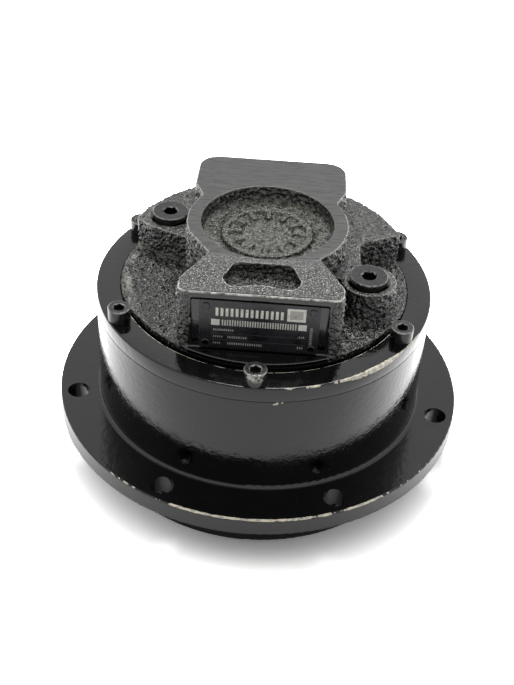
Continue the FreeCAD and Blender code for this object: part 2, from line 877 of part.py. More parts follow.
def rear_cover():
    """The iron casting that closes the motor and carries its ports."""
    body = cover_outside()
    spigot = tube(spigot_inner_radius, cam_outer_radius - slide_gap, seam_z - spigot_height, seam_z)
    body = fused([body, spigot])
    cuts = [rim_groove(), dish(), front_pocket(), nameplate_pad()]
    cuts.append(rod(spigot_inner_radius, seam_z - spigot_height - past, cavity_z))
    cuts += port_cuts() + distributor_hollow()
    for x, y in plug_places():
        cuts += plug_cuts(x, y)
    screw_hole = rod(screw_hole_radius, seam_z - past, rim_z + past, screw_circle)
    cuts += ring_of(screw_hole, screw_count, rear_angle)
    pin = rod(cam_pin_radius + slide_gap, cam_z, cam_z + cam_height + cam_pin_depth, cam_pin_circle)
    cuts += ring_of(pin, cam_pin_count, cam_pin_start())
    for x, z in name_pin_places():
        cuts.append(name_pin_rod(name_pin_radius + slide_gap, name_pin_length + seal_gap, x, z))
    return body.cut(cuts)


# Distributor

def distributor():
    """The valve piece whose holes feed the cylinders in turn."""
    corners = [(distributor_bore, distributor_z)]
    z = distributor_z
    for radius, step in zip(distributor_radii, distributor_steps):
        corners += [(radius, z), (radius, z + step)]
        z += step
    corners.append((distributor_bore, z))
    body = lathe(*corners)
    mains = ring_main_heights()
    cuts = []
    for radius, low in zip(distributor_radii, mains):
        cuts.append(tube(radius - ring_main_depth, radius + past, low, low + ring_main_width))
    middle = [low + ring_main_width / 2 for low in mains]
    low_hole = rod(timing_hole_radius, distributor_z - past, middle[0], timing_circle)
    link = Part.makeCylinder(timing_link_radius, distributor_radii[0] - timing_circle,
                             Vec(timing_circle, 0, middle[0]), Vec(1, 0, 0))
    high_hole = rod(timing_hole_radius, distributor_z - past, middle[1], timing_circle)
    step = full_turn / cam_lobes / 2
    cuts += ring_of(low_hole, cam_lobes, step / 2) + ring_of(link, cam_lobes, step / 2)
    cuts += ring_of(high_hole, cam_lobes, -step / 2)
    for radius, low in ring_seal_places():
        cuts.append(tube(radius - ring_seal_depth, radius + past, low, low + ring_seal_width))
    cuts.append(rod(lock_pin_radius + slide_gap, distributor_top_z - lock_pin_depth,
                    distributor_top_z + past, 0, -lock_pin_circle))
    return body.cut(cuts)


def ring_seal_places():
    """Radius and lower height of the ring seals' grooves: under each main, and in the top step."""
    starts = [cavity_z, distributor_z + distributor_steps[0], distributor_top_z - distributor_steps[-1]]
    ends = list(ring_main_heights()) + [distributor_top_z]
    places = []
    for radius, start, end in zip(distributor_radii, starts, ends):
        places.append((radius, (start + end - ring_seal_width) / 2))
    return places


def ring_seals():
    """Rings that keep the two pressure sides apart."""
    seals = []
    for radius, low in ring_seal_places():
        seals.append(tube(radius - ring_seal_depth + seal_gap, radius, low + face_gap,
                          low + ring_seal_width - face_gap))
    return seals


def disc_spring():
    """The cone spring that pushes the distributor down on the cylinder block."""
    z = distributor_top_z + face_gap
    rise = spring_height - spring_thickness - 2 * face_gap
    return lathe((spring_outer_radius, z), (spring_outer_radius, z + spring_thickness),
                 (spring_inner_radius, z + spring_thickness + rise), (spring_inner_radius, z + rise))


def lock_pin():
    """The pin that keeps the distributor in step with the cam."""
    low = distributor_top_z - lock_pin_depth + seal_gap
    return rod(lock_pin_radius, low, lock_pin_top() - seal_gap, 0, -lock_pin_circle)


# Fasteners, plugs, seals and nameplate

def cover_screws():
    """Socket head screws on the rim of the cover."""
    head_top = rim_z + screw_head_height
    head_part = lathe((0, rim_z), (screw_head_radius, rim_z),
                      (screw_head_radius, head_top, screw_head_edge), (0, head_top))
    shank = rod(screw_radius, seam_z - screw_reach, rim_z + past)
    screw = fused([head_part, shank]).cut(hex_socket(screw_socket_width, screw_socket_depth, head_top))
    screw.translate(Vec(screw_circle, 0, 0))
    return ring_of(screw, screw_count, rear_angle)


def drain_plugs():
    """Hexagon socket plugs with a collar, one on the plateau and one on the boss."""
    seat = plateau_z - spotface_depth + plug_seal_thickness
    top = seat + plug_collar_height
    collar = lathe((0, seat), (plug_collar_radius, seat), (plug_collar_radius, top, plug_collar_edge),
                   (0, top))
    shank = rod(plug_radius, plateau_z - plug_length, seat + past)
    plug = fused([collar, shank]).cut(hex_socket(plug_socket_width, plug_socket_depth, top))
    solids = []
    for x, y in plug_places():
        copy = plug.copy()
        copy.translate(Vec(x, y, 0))
        solids.append(copy)
    return solids


def plug_seals():
    """A flat ring seal under each plug's collar."""
    low = plateau_z - spotface_depth
    ring = tube(plug_radius + running_gap, plug_seal_radius, low, low + plug_seal_thickness)
    solids = []
    for x, y in plug_places():
        copy = ring.copy()
        copy.translate(Vec(x, y, 0))
        solids.append(copy)
    return solids


def cover_seal():
    """The O-ring in the housing's end face."""
    center = Vec(0, 0, seam_z - cover_seal_radius - face_gap)
    return Part.makeTorus(cover_seal_circle, cover_seal_radius, center)


def plate_bottom():
    """Height of the nameplate's lower edge."""
    return head_z - pad_top_margin - plate_margin - plate_height


def name_pin_places():
    """Centres (x, z) of the four pins at the nameplate's corners."""
    low = plate_bottom() + name_pin_inset_z
    high = plate_bottom() + plate_height - name_pin_inset_z
    x = plate_half_width - name_pin_inset_x
    return [(side * x, z) for z in (low, high) for side in (-1, 1)]


def name_pin_rod(radius, length, x, z):
    """A rod that runs into the head from the nameplate's seat."""
    return Part.makeCylinder(radius, length, Vec(x, -head_front + pad_depth, z), Vec(0, 1, 0))


def nameplate():
    """A bare plate on the front of the head."""
    low = plate_bottom()
    high = low + plate_height
    corners = [(-plate_half_width, low, plate_corner), (plate_half_width, low, plate_corner),
               (plate_half_width, high, plate_corner), (-plate_half_width, high, plate_corner)]
    back = -head_front + pad_depth
    wire = rounded_wire(corners, lambda x, z: Vec(x, back, z))
    plate = Part.Face(wire).extrude(Vec(0, -plate_thickness, 0))
    holes = []
    for x, z in name_pin_places():
        holes.append(Part.makeCylinder(name_pin_radius + slide_gap, plate_thickness + 2 * past,
                                       Vec(x, back + past, z), Vec(0, -1, 0)))
    return plate.cut(holes)


def nameplate_pins():
    """Round-headed drive pins that hold the nameplate."""
    pins = []
    for x, z in name_pin_places():
        front = -head_front + pad_depth - plate_thickness
        shank = Part.makeCylinder(name_pin_radius, name_pin_length + plate_thickness,
                                  Vec(x, front, z), Vec(0, 1, 0))
        cap = Part.makeCylinder(name_pin_head, name_pin_head_height, Vec(x, front, z), Vec(0, -1, 0))
        crown = front - name_pin_head_height / 2
        outer = [edge for edge in cap.Edges if edge.Closed and edge.CenterOfMass.y < crown]
        cap = cap.makeChamfer(name_pin_head_height / 2, outer)
        pins.append(fused([cap, shank]))
    return pins


def save(name, shape):
    """Writes one sub-part, a solid or a list of separate solids."""
    if isinstance(shape, list):
        shape = Part.makeCompound(shape)
    shape.exportStep("parts/%s.step" % name)
    print(name, "solids", len(shape.Solids), "valid", shape.isValid(), "cm3 %.2f" % (shape.Volume / 1000))


def build():
    os.makedirs("parts", exist_ok=True)
    save("bearing_housing", housing())
    save("rear_cover", rear_cover())
    save("cover_screws", cover_screws())
    save("cover_seal", cover_seal())
    save("drain_plugs", drain_plugs())
    save("plug_seals", plug_seals())
    save("nameplate", nameplate())
    save("nameplate_pins", nameplate_pins())
    save("cam_ring", cam_ring())
    save("cam_pins", cam_pins())
    save("distributor", distributor())
    save("distributor_seals", ring_seals())
    save("disc_spring", disc_spring())
    save("lock_pin", lock_pin())
    save("shaft_seal", shaft_seal())
    save("garter_spring", garter_spring())
    save("output_hub", output_hub())
    save("retaining_ring", retaining_ring())
    save("cylinder_block", cylinder_block())
    save("pistons", pistons())
    save("piston_rings", piston_rings())
    save("cam_rollers", cam_rollers())
    for name, upper in (("lower", False), ("upper", True)):
        save(name + "_bearing_cup", seated_bearing(bearing_cup(), upper))
        save(name + "_bearing_cone", seated_bearing(bearing_cone(), upper))
        save(name + "_bearing_cage", seated_bearing(bearing_cage(), upper))
        rollers = Part.makeCompound(ring_of(bearing_roller(), roller_count))
        save(name + "_bearing_rollers", seated_bearing(rollers, upper))


build()
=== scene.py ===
# %% [markdown]
# # Dressing a hydraulic drive motor
# The motor is a stack of round machined parts under gloss black paint, closed by a rough iron casting.
# The frame brings every solid at its real size, in metres, with the shaft axis along Z and the flange's
# seat at height zero. This lesson adds what a solid model lacks: paint, cast grain, wear and print.
# %% Load the frame
import json
import math
import bmesh
import bpy
import numpy as np
from mathutils import Matrix, Vector, kdtree, noise


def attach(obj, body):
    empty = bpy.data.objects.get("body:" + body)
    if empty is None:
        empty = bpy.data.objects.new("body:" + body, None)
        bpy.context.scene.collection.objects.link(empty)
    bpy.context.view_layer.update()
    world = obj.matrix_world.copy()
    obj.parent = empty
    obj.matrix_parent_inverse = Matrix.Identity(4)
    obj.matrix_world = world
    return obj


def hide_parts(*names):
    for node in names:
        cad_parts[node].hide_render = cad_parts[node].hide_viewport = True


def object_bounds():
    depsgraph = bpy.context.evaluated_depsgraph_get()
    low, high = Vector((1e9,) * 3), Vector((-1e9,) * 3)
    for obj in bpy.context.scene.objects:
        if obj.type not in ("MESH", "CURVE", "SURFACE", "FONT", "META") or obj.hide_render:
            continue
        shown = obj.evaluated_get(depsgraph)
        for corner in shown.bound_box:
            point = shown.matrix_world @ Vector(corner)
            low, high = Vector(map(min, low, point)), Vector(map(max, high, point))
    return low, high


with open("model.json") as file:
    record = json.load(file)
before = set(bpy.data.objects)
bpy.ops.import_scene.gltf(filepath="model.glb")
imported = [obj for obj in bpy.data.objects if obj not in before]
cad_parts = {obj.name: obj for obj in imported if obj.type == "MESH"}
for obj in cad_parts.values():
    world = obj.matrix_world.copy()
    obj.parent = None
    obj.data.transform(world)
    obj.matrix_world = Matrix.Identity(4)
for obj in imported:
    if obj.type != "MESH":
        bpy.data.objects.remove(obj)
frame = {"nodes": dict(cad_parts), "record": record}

CAD_BOX = [list(corner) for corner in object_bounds()]
NODES = frame["nodes"]
MM = 0.001
print("nodes:", len(NODES), "box:", [[round(v / MM, 1) for v in corner] for corner in CAD_BOX])

# %% [markdown]
# ## Camera
# The view was solved from the circles of the rim, the seam and the flange, which a lens turns into
# ellipses. A camera can be aimed by a constraint, but a matrix built from elevation, roll and turn says
# each angle once.
# %% Camera
AIM = Vector((-2.3, 0.0, 39.6)) * MM
DISTANCE = 750.3 * MM
ELEVATION = math.radians(38.3)
ROLL = math.radians(3.2)
TURN = math.radians(1.4)
FOCAL_MM = 63.07
SENSOR_MM = 36.0


def make_camera():
    """Places the camera on a circle round the aim point, then tips and turns it."""
    back = Vector((0, -math.cos(ELEVATION), math.sin(ELEVATION)))
    right = Vector((1, 0, 0))
    up = back.cross(right)
    side = right * math.cos(ROLL) + up * math.sin(ROLL)
    top = up * math.cos(ROLL) - right * math.sin(ROLL)
    basis = Matrix((side, top, back)).transposed().to_4x4()
    basis.translation = AIM + back * DISTANCE
    camera = bpy.data.objects.new("camera", bpy.data.cameras.new("camera"))
    camera.data.lens = FOCAL_MM
    camera.data.sensor_fit = "VERTICAL"
    camera.data.sensor_height = SENSOR_MM
    camera.matrix_world = Matrix.Rotation(TURN, 4, "Z") @ basis
    bpy.context.scene.collection.objects.link(camera)
    bpy.context.scene.camera = camera
    return camera


camera = make_camera()
print("camera at", [round(v, 3) for v in camera.matrix_world.translation])

# %% [markdown]
# ## Shader shorthand
# Every finish here is a node tree. Writing each node and link in full hides the idea of a finish under
# plumbing, so a small class holds a tree and gives one short call for each kind of node.
# Places are measured in millimetres on the part itself, so a scratch stays where it is in every view.
# %% Short calls for the nodes of any tree
class Nodes:
    """Short calls for a tree's nodes; an input is a number, a colour or another node's output."""

    def __init__(self, tree):
        self.tree = tree

    def put(self, socket, value):
        """Sets a socket to a value, or links it to an output."""
        if isinstance(value, bpy.types.NodeSocket):
            self.tree.links.new(value, socket)
        elif isinstance(value, (tuple, list)) and len(value) == 3 and socket.type == "RGBA":
            socket.default_value = (*value, 1.0)
        else:
            socket.default_value = value

    def math(self, operation, a, b=0.0, clamp=False):
        node = self.tree.nodes.new("ShaderNodeMath")
        node.operation = operation
        node.use_clamp = clamp
        self.put(node.inputs[0], a)
        self.put(node.inputs[1], b)
        return node.outputs[0]

    def scaled(self, vector, number):
        """A place or a colour, each part of it multiplied by one number."""
        node = self.tree.nodes.new("ShaderNodeVectorMath")
        node.operation = "SCALE"
        self.put(node.inputs[0], vector)
        self.put(node.inputs["Scale"], number)
        return node.outputs["Vector"]

    def blend(self, share, a, b):
        """A number between two numbers."""
        node = self.tree.nodes.new("ShaderNodeMix")
        for name, value in (("Factor", share), ("A", a), ("B", b)):
            self.put(node.inputs[name], value)
        return node.outputs["Result"]

    def mix(self, share, a, b):
        """A colour between two colours."""
        node = self.tree.nodes.new("ShaderNodeMix")
        node.data_type = "RGBA"
        self.put(node.inputs["Factor"], share)
        self.put(node.inputs[6], a)
        self.put(node.inputs[7], b)
        return node.outputs[2]

    def between(self, value, low, high, start=0.0, end=1.0):
        """A value stretched from low..high to start..end, smooth and held at both ends."""
        node = self.tree.nodes.new("ShaderNodeMapRange")
        node.interpolation_type = "SMOOTHSTEP"
        self.put(node.inputs["Value"], value)
        for name, number in (("From Min", low), ("From Max", high), ("To Min", start), ("To Max", end)):
            self.put(node.inputs[name], number)
        return node.outputs["Result"]

    def coordinate(self, name):
        """The object's own coordinate, or the direction in which a ray leaves for the sky."""
        return self.tree.nodes.new("ShaderNodeTexCoord").outputs[name]

    def ray(self, name):
        """1 for rays of this kind and 0 for all others."""
        return self.tree.nodes.new("ShaderNodeLightPath").outputs[name]

    def parts(self, vector):
        """The x, y and z of a vector."""
        node = self.tree.nodes.new("ShaderNodeSeparateXYZ")
        self.put(node.inputs[0], vector)
        return node.outputs


print("short calls ready")

# %% A material, with places on the part in millimetres
class Finish(Nodes):
    """A material's tree: noise, distances and directions on the part, and the surface's own inputs."""

    def __init__(self, name):
        self.material = bpy.data.materials.new(name)
        self.material.use_nodes = True
        super().__init__(self.material.node_tree)
        self.surface = self.tree.nodes["Principled BSDF"]
        self.place = self.scaled(self.coordinate("Object"), 1 / MM)

    def axes(self):
        """The x, y and z of the place on the part."""
        return self.parts(self.place)

    def stretched(self, x, y, z):
        """The place with each axis scaled, for streaks."""
        node = self.tree.nodes.new("ShaderNodeVectorMath")
        node.operation = "MULTIPLY"
        self.put(node.inputs[0], self.place)
        node.inputs[1].default_value = (x, y, z)
        return node.outputs["Vector"]

    def grain(self, size, detail=2.0, rough=0.5, vector=None):
        """Cloudy noise whose lumps are about this many millimetres across."""
        node = self.tree.nodes.new("ShaderNodeTexNoise")
        self.put(node.inputs["Vector"], vector or self.place)
        node.inputs["Scale"].default_value = 1 / size
        node.inputs["Detail"].default_value = detail
        node.inputs["Roughness"].default_value = rough
        return node.outputs["Fac"]

    def cells(self, size):
        """Distance to the nearest of scattered points, which makes pits and specks."""
        node = self.tree.nodes.new("ShaderNodeTexVoronoi")
        self.put(node.inputs["Vector"], self.place)
        node.inputs["Scale"].default_value = 1 / size
        return node.outputs["Distance"]

    def radius(self):
        """Distance from the shaft axis."""
        x, y, z = self.axes()
        across = self.math("ADD", self.math("MULTIPLY", x, x), self.math("MULTIPLY", y, y))
        return self.math("SQRT", across)

    def reach(self):
        """Distance from the origin, which lies on the shaft axis."""
        node = self.tree.nodes.new("ShaderNodeVectorMath")
        node.operation = "LENGTH"
        self.put(node.inputs[0], self.place)
        return node.outputs["Value"]

    def facing(self):
        """How far the surface faces up: 1 on top, 0 on a wall, -1 below."""
        node = self.tree.nodes.new("ShaderNodeNewGeometry")
        return self.parts(node.outputs["Normal"])[2]

    def attribute(self, name):
        """A value that the mesh carries at each corner point."""
        node = self.tree.nodes.new("ShaderNodeAttribute")
        node.attribute_name = name
        return node.outputs["Fac"]

    def bump(self, height, strength, depth, normal=None):
        """A bump whose full height is this many millimetres."""
        node = self.tree.nodes.new("ShaderNodeBump")
        self.put(node.inputs["Strength"], strength)
        node.inputs["Distance"].default_value = depth * MM
        self.put(node.inputs["Height"], height)
        if normal is not None:
            self.put(node.inputs["Normal"], normal)
        return node.outputs["Normal"]

    def set(self, **values):
        """Sets the surface's own inputs; an underscore stands for a space."""
        for name, value in values.items():
            self.put(self.surface.inputs[name.replace("_", " ")], value)
        return self.material


print("finishes ready")

# %% [markdown]
# ## Floor and light
# The real part stands on white paper in a bright white room. Black gloss has almost no colour of its own:
# what it shows is the room, mirrored. So one set of lights shapes the rough casting, and mirror rays are
# shown another room: white walls, a darker ceiling, one soft window at the back, and paper behind the part
# that is several times brighter than white, which draws the two bright bands on the barrel.
# The paper reads as pure white away from the part; beside the hub the camera sees it darker, a painted
# shadow that tightens the real one.
# %% Paper
FLOOR_Z = CAD_BOX[0][2]
FLOOR_HALF = 6.0
FLOOR_COLOUR = (0.86, 0.86, 0.855)
FLOOR_ROUGH = 0.9
FLOOR_SHINE = 0.1
FLOOR_LIFT = 0.04
# Both gains are for the camera alone: beside the hub, and from where the paper counts as clear of it. The
# lower gain beside the hub paints the paper darker there as a painted shadow.
GAIN_NEAR = 1.40
GAIN_FAR = 4.2
GAIN_REACH = (106.0, 140.0)
# Mirror rays see this glow, which grows from the front of the part to the back and starts clear of it.
MIRROR_LIFT = 0.40
BACKLIGHT = 2.2
BACKLIGHT_Y = (-160.0, 60.0)
OWN_SHADOW = (128.0, 165.0)


def paper_white():
    """Paper with one brightness for the camera, lower near the hub as a painted shadow, one for mirrors and
    plain paper for all other rays.
    """
    f = Finish("paper")
    x, y, z = f.axes()
    camera = f.ray("Is Camera Ray")
    # Painted shadow: a lower gain near the hub makes the paper darker there for the camera.
    gain = f.between(f.reach(), *GAIN_REACH, GAIN_NEAR, GAIN_FAR)
    colour = f.mix(camera, FLOOR_COLOUR, f.scaled(FLOOR_COLOUR, gain))
    glow = f.between(y, *BACKLIGHT_Y, MIRROR_LIFT, MIRROR_LIFT + BACKLIGHT)
    glow = f.math("MULTIPLY", glow, f.between(f.reach(), *OWN_SHADOW))
    glow = f.math("MULTIPLY", f.ray("Is Glossy Ray"), glow)
    lift = f.math("ADD", f.math("MULTIPLY", camera, FLOOR_LIFT), glow)
    return f.set(Base_Color=colour, Roughness=FLOOR_ROUGH, Specular_IOR_Level=FLOOR_SHINE,
                 Emission_Color=(1, 1, 1), Emission_Strength=lift)


def make_floor():
    """A wide sheet of paper under the hub."""
    mesh = bpy.data.meshes.new("paper")
    corners = ((-1, -1), (1, -1), (1, 1), (-1, 1))
    mesh.from_pydata([(x * FLOOR_HALF, y * FLOOR_HALF, FLOOR_Z) for x, y in corners], [], [(0, 1, 2, 3)])
    mesh.materials.append(paper_white())
    paper = bpy.data.objects.new("paper", mesh)
    bpy.context.scene.collection.objects.link(paper)


make_floor()
print("floor at", round(FLOOR_Z / MM, 1), "mm")

# %% Sky and lamps
SKY_LEVEL = 0.36
MIRROR_LEVEL = 1.15
CEILING_LEVEL = 0.30
CEILING_FROM = math.sin(math.radians(52))
CEILING_FULL = math.sin(math.radians(68))
LAMP_AIM = Vector((0, 0, 0.04))
# Each lamp is its name, place in metres, side, power and whether only mirror rays see it.
LAMPS = (("lamp_overhead", (-0.05, 0.38, 1.20), 0.6, 13.0, False),
         ("lamp_left", (-1.2, 0.0, 0.55), 0.8, 5.0, False),
         ("lamp_right", (1.2, 0.0, 0.55), 0.8, 3.0, False),
         ("window_back", (0.05, 0.55, 1.20), 0.45, 8.0, True))


def make_sky():
    """A dim sky for matt surfaces; mirrors see white walls and a darker ceiling, the camera sees white."""
    world = bpy.data.worlds.new("sky")
    world.use_nodes = True
    sky = Nodes(world.node_tree)
    up = sky.parts(sky.coordinate("Generated"))[2]
    room = sky.between(up, CEILING_FROM, CEILING_FULL, MIRROR_LEVEL, CEILING_LEVEL)
    level = SKY_LEVEL
    for kind, bright in (("Is Glossy Ray", room), ("Is Transmission Ray", 1.0), ("Is Camera Ray", 1.0)):
        level = sky.blend(sky.ray(kind), level, bright)
    background = sky.tree.nodes["Background"]
    sky.put(background.inputs["Color"], (1, 1, 1))
    sky.put(background.inputs["Strength"], level)
    bpy.context.scene.world = world


def make_lamp(name, place, size, power, mirrored):
    """A square lamp that faces the motor, seen either by mirror rays alone or by all the others."""
    data = bpy.data.lights.new(name, "AREA")
    data.size = size
    data.energy = power
    lamp = bpy.data.objects.new(name, data)
    lamp.location = place
    lamp.visible_glossy = mirrored
    lamp.visible_diffuse = not mirrored
    lamp.rotation_euler = (LAMP_AIM - Vector(place)).to_track_quat("-Z", "Y").to_euler()
    bpy.context.scene.collection.objects.link(lamp)


make_sky()
for row in LAMPS:
    make_lamp(*row)
bpy.context.scene.view_settings.view_transform = "Standard"
print("lamps:", len(LAMPS))

# %% [markdown]
# ## Gloss black paint
# The housing and the hub were turned, primed and sprayed. Sprayed paint is never flat: it has a faint
# orange peel, dust specks and patches where it dried duller. The wear comes from handling: the flange's
# outer edge has lost its paint along the front, down to pale primer and bare metal.
# %% Gloss paint
PAINT_BLACK = (0.0008, 0.0008, 0.0013)
PAINT_DUST = (0.012, 0.012, 0.012)
PRIMER_CREAM = (0.76, 0.69, 0.52)
BARE_METAL = (0.45, 0.44, 0.40)
BORE_METAL = (0.36, 0.36, 0.36)
GLOSS = (0.06, 0.15)
DUST_SIZE = 26
SPECK_GAP = 5.5
# Each layer of the peel is its size, detail, share of fine detail, strength and depth.
PEEL = ((1.6, 2, 0.5, 0.25, 0.02), (3.4, 3, 0.6, 0.9, 0.17), (11, 2, 0.5, 0.3, 0.10))
CHIP_DEPTH = 0.12
CHIP_DULLS = 0.35
BORE_FADE = 0.3
BORE_DULLS = 0.22


def gloss_paint(name, edge_marks=None, bore=None):
    """Sprayed black paint, with optional edge marks (chips, and on the rim a pale line that is partly a
    painted highlight) and a radius inside which it is bare.
    """
    f = Finish(name)
    dust = f.between(f.grain(DUST_SIZE, 3), 0.45, 0.75)
    specks = f.between(f.cells(SPECK_GAP), 0.05, 0.10, 1.0, 0.0)
    colour = f.mix(f.math("MULTIPLY", dust, 0.18), PAINT_BLACK, PAINT_DUST)
    colour = f.mix(f.math("MULTIPLY", specks, 0.5), colour, PAINT_DUST)
    rough = f.between(f.grain(18, 4, 0.6), 0.3, 0.7, *GLOSS)
    rough = f.math("ADD", rough, f.math("MULTIPLY", specks, 0.2))
    peel = None
    for size, detail, fine, strength, depth in PEEL:
        peel = f.bump(f.grain(size, detail, fine), strength, depth, peel)
    if edge_marks is not None:
        edge_mark = edge_marks(f)
        metal = f.mix(f.between(f.grain(2.2, 3), 0.42, 0.56), PRIMER_CREAM, BARE_METAL)
        colour = f.mix(edge_mark, colour, metal)
        rough = f.math("ADD", rough, f.math("MULTIPLY", edge_mark, CHIP_DULLS))
        peel = f.bump(f.math("SUBTRACT", 1.0, edge_mark), 0.6, CHIP_DEPTH, peel)
    if bore is not None:
        bare = f.between(f.radius(), bore - BORE_FADE, bore + BORE_FADE, 1.0, 0.0)
        colour = f.mix(bare, colour, BORE_METAL)
        rough = f.math("ADD", rough, f.math("MULTIPLY", bare, BORE_DULLS))
        f.set(Metallic=bare)
    return f.set(Base_Color=colour, Roughness=rough, Normal=peel)


print("gloss paint ready")

# %% Chips on the flange, the seam and the rim's edges, and a painted highlight line on the rim
FLANGE_TOP_Z = 12.0
FLANGE_RADIUS = 125.0
SEAM_Z = 77.5
RIM_Z = 87.0
BARREL_RADIUS = 100.0
RIM_INNER = 86.0
HOUSING_BORE = 83.0
# Degrees round the shaft axis from the front: a chipped stretch runs from one to the other.
FLANGE_FRONT = (-22, 38)
FLANGE_NICKS = (-42, 66)
SEAM_CHIP = (5.5, 9.5)
RIM_RUBBED = (31, 51)
RIM_NICKS = (4, 30)
RIM_INNER_LINE = (-66, 64)
RIM_OUTER_LINE = (26, 66)
CHIP_EDGE = (0.42, 0.52)


def edge_band(f, radius, height, width):
    """1 on a turned edge at this radius and height, fading to 0 this far away."""
    x, y, z = f.axes()
    along = f.math("ABSOLUTE", f.math("SUBTRACT", f.radius(), radius))
    up = f.math("ABSOLUTE", f.math("SUBTRACT", z, height))
    away = f.math("SQRT", f.math("ADD", f.math("MULTIPLY", along, along), f.math("MULTIPLY", up, up)))
    return f.between(away, 0.0, width, 1.0, 0.0)


def sector(f, start, end, fade):
    """1 between two angles round the shaft axis, in degrees from the front, turning to the right."""
    x, y, z = f.axes()
    angle = f.math("ARCTAN2", x, f.math("MULTIPLY", y, -1.0))
    degrees = f.math("MULTIPLY", angle, 180 / math.pi)
    rise = f.between(degrees, start - fade, start + fade)
    fall = f.between(degrees, end - fade, end + fade, 1.0, 0.0)
    return f.math("MULTIPLY", rise, fall)


def window(f, value, low, high, fade=0.12):
    """1 while a value lies between two limits."""
    rise = f.between(value, low - fade, low + fade)
    return f.math("MULTIPLY", rise, f.between(value, high - fade, high + fade, 1.0, 0.0))


def stretch(f, radius, height, width, angles, fade):
    """1 on a stretch of a turned edge, between two angles."""
    return f.math("MULTIPLY", edge_band(f, radius, height, width), sector(f, *angles, fade))


def housing_chips(f):
    """The flange's front edge, a nick or two on its side, and one chip at the seam."""
    ragged = f.between(f.grain(7, 4, 0.65), 0.30, 0.62)
    front = stretch(f, FLANGE_RADIUS, FLANGE_TOP_Z, 1.7, FLANGE_FRONT, 5)
    front = f.math("MULTIPLY", front, f.math("ADD", ragged, 0.46))
    side = stretch(f, FLANGE_RADIUS, FLANGE_TOP_Z, 1.4, FLANGE_NICKS, 6)
    side = f.math("MULTIPLY", side, f.between(f.grain(5, 3, 0.6), 0.51, 0.64))
    seam = stretch(f, BARREL_RADIUS, SEAM_Z, 3.6, SEAM_CHIP, 0.8)
    seam = f.math("MULTIPLY", seam, f.between(f.grain(3, 3, 0.6), 0.40, 0.6))
    total = f.math("ADD", f.math("ADD", front, side), seam)
    return f.between(total, *CHIP_EDGE)


def rim_chips_and_highlight(f):
    """The rim's edges: rubbed bare at the right front, nicked before that, and thin pale lines elsewhere,
    the inner one partly a painted highlight.
    """
    rubbed = stretch(f, BARREL_RADIUS, RIM_Z - 0.8, 3.6, RIM_RUBBED, 5)
    rubbed = f.math("MULTIPLY", rubbed, f.between(f.grain(7, 4, 0.7), 0.30, 0.50, 0.45, 1.0))
    nicked = stretch(f, BARREL_RADIUS, RIM_Z, 1.8, RIM_NICKS, 3)
    nicked = f.math("MULTIPLY", nicked, f.between(f.grain(6, 3, 0.6), 0.49, 0.60))
    # The inner line is partly a bare machined edge and partly a painted highlight.
    inner = stretch(f, RIM_INNER, RIM_Z, 0.8, RIM_INNER_LINE, 4)
    outer = stretch(f, BARREL_RADIUS, RIM_Z - 0.3, 1.3, RIM_OUTER_LINE, 5)
    patchy = f.between(f.grain(8, 4, 0.7), 0.38, 0.55, 0.3, 1.0)
    lines = f.math("MULTIPLY", f.math("MAXIMUM", inner, outer), patchy)
    return f.between(f.math("ADD", f.math("ADD", rubbed, nicked), lines), *CHIP_EDGE)


def dress(node, material):
    """Gives a solid of the frame a new material in all its slots."""
    mesh = NODES[node].data
    for k in range(len(mesh.materials)):
        mesh.materials[k] = material


dress("bearing_housing", gloss_paint("housing_paint", housing_chips, HOUSING_BORE))
dress("output_hub", gloss_paint("hub_paint"))
print("housing and hub painted")

# %% [markdown]
# ## The turned rim of the cover
# The cover is one casting, but only its rim was machined. A coarse cast mesh would spoil the rim's clean
# mirror, so the two are modelled apart: the rim is spun from a profile with many steps round the axis,
# and the screw and dowel holes are cut through it.
# %% Turned rim
RIM_STEPS = 360
RIM_FLOOR_Z = 84.0
SPIGOT_Z = 75.5
SPIGOT_INNER = 71.0
SPIGOT_OUTER = 81.97
SCREW_CIRCLE = 93.0
SCREW_HOLE = 4.5
DOWEL_CIRCLE = 76.0
DOWEL_HOLE = 2.53
CAVITY_Z = 80.5
ROUND_STEPS = 4
CUTTER_STEPS = 40
SHARP_ANGLE = 35


def rounded(profile, steps=ROUND_STEPS):
    """A profile of (radius, height, round) corners with each round made of short sides."""
    points = []
    count = len(profile)
    for k, (r, z, size) in enumerate(profile):
        here = Vector((r, z))
        if size <= 0:
            points.append(here)
            continue
        before = (Vector(profile[k - 1][:2]) - here).normalized()
        after = (Vector(profile[(k + 1) % count][:2]) - here).normalized()
        for step in range(steps + 1):
            t = step / steps
            a, b = here + before * size, here + after * size
            points.append(a * (1 - t) ** 2 + here * 2 * t * (1 - t) + b * t ** 2)
    return points


def spin(name, profile, steps=RIM_STEPS):
    """A closed ring spun from a profile in millimetres."""
    points = rounded(profile)
    count = len(points)
    verts = []
    for k in range(steps):
        turn = 2 * math.pi * k / steps
        verts += [(p.x * MM * math.cos(turn), p.x * MM * math.sin(turn), p.y * MM) for p in points]
    faces = []
    for k in range(steps):
        here, there = k * count, ((k + 1) % steps) * count
        for j in range(count):
            n = (j + 1) % count
            faces.append((here + j, there + j, there + n, here + n))
    mesh = bpy.data.meshes.new(name)
    mesh.from_pydata(verts, [], faces)
    piece = bpy.data.objects.new(name, mesh)
    bpy.context.scene.collection.objects.link(piece)
    return piece


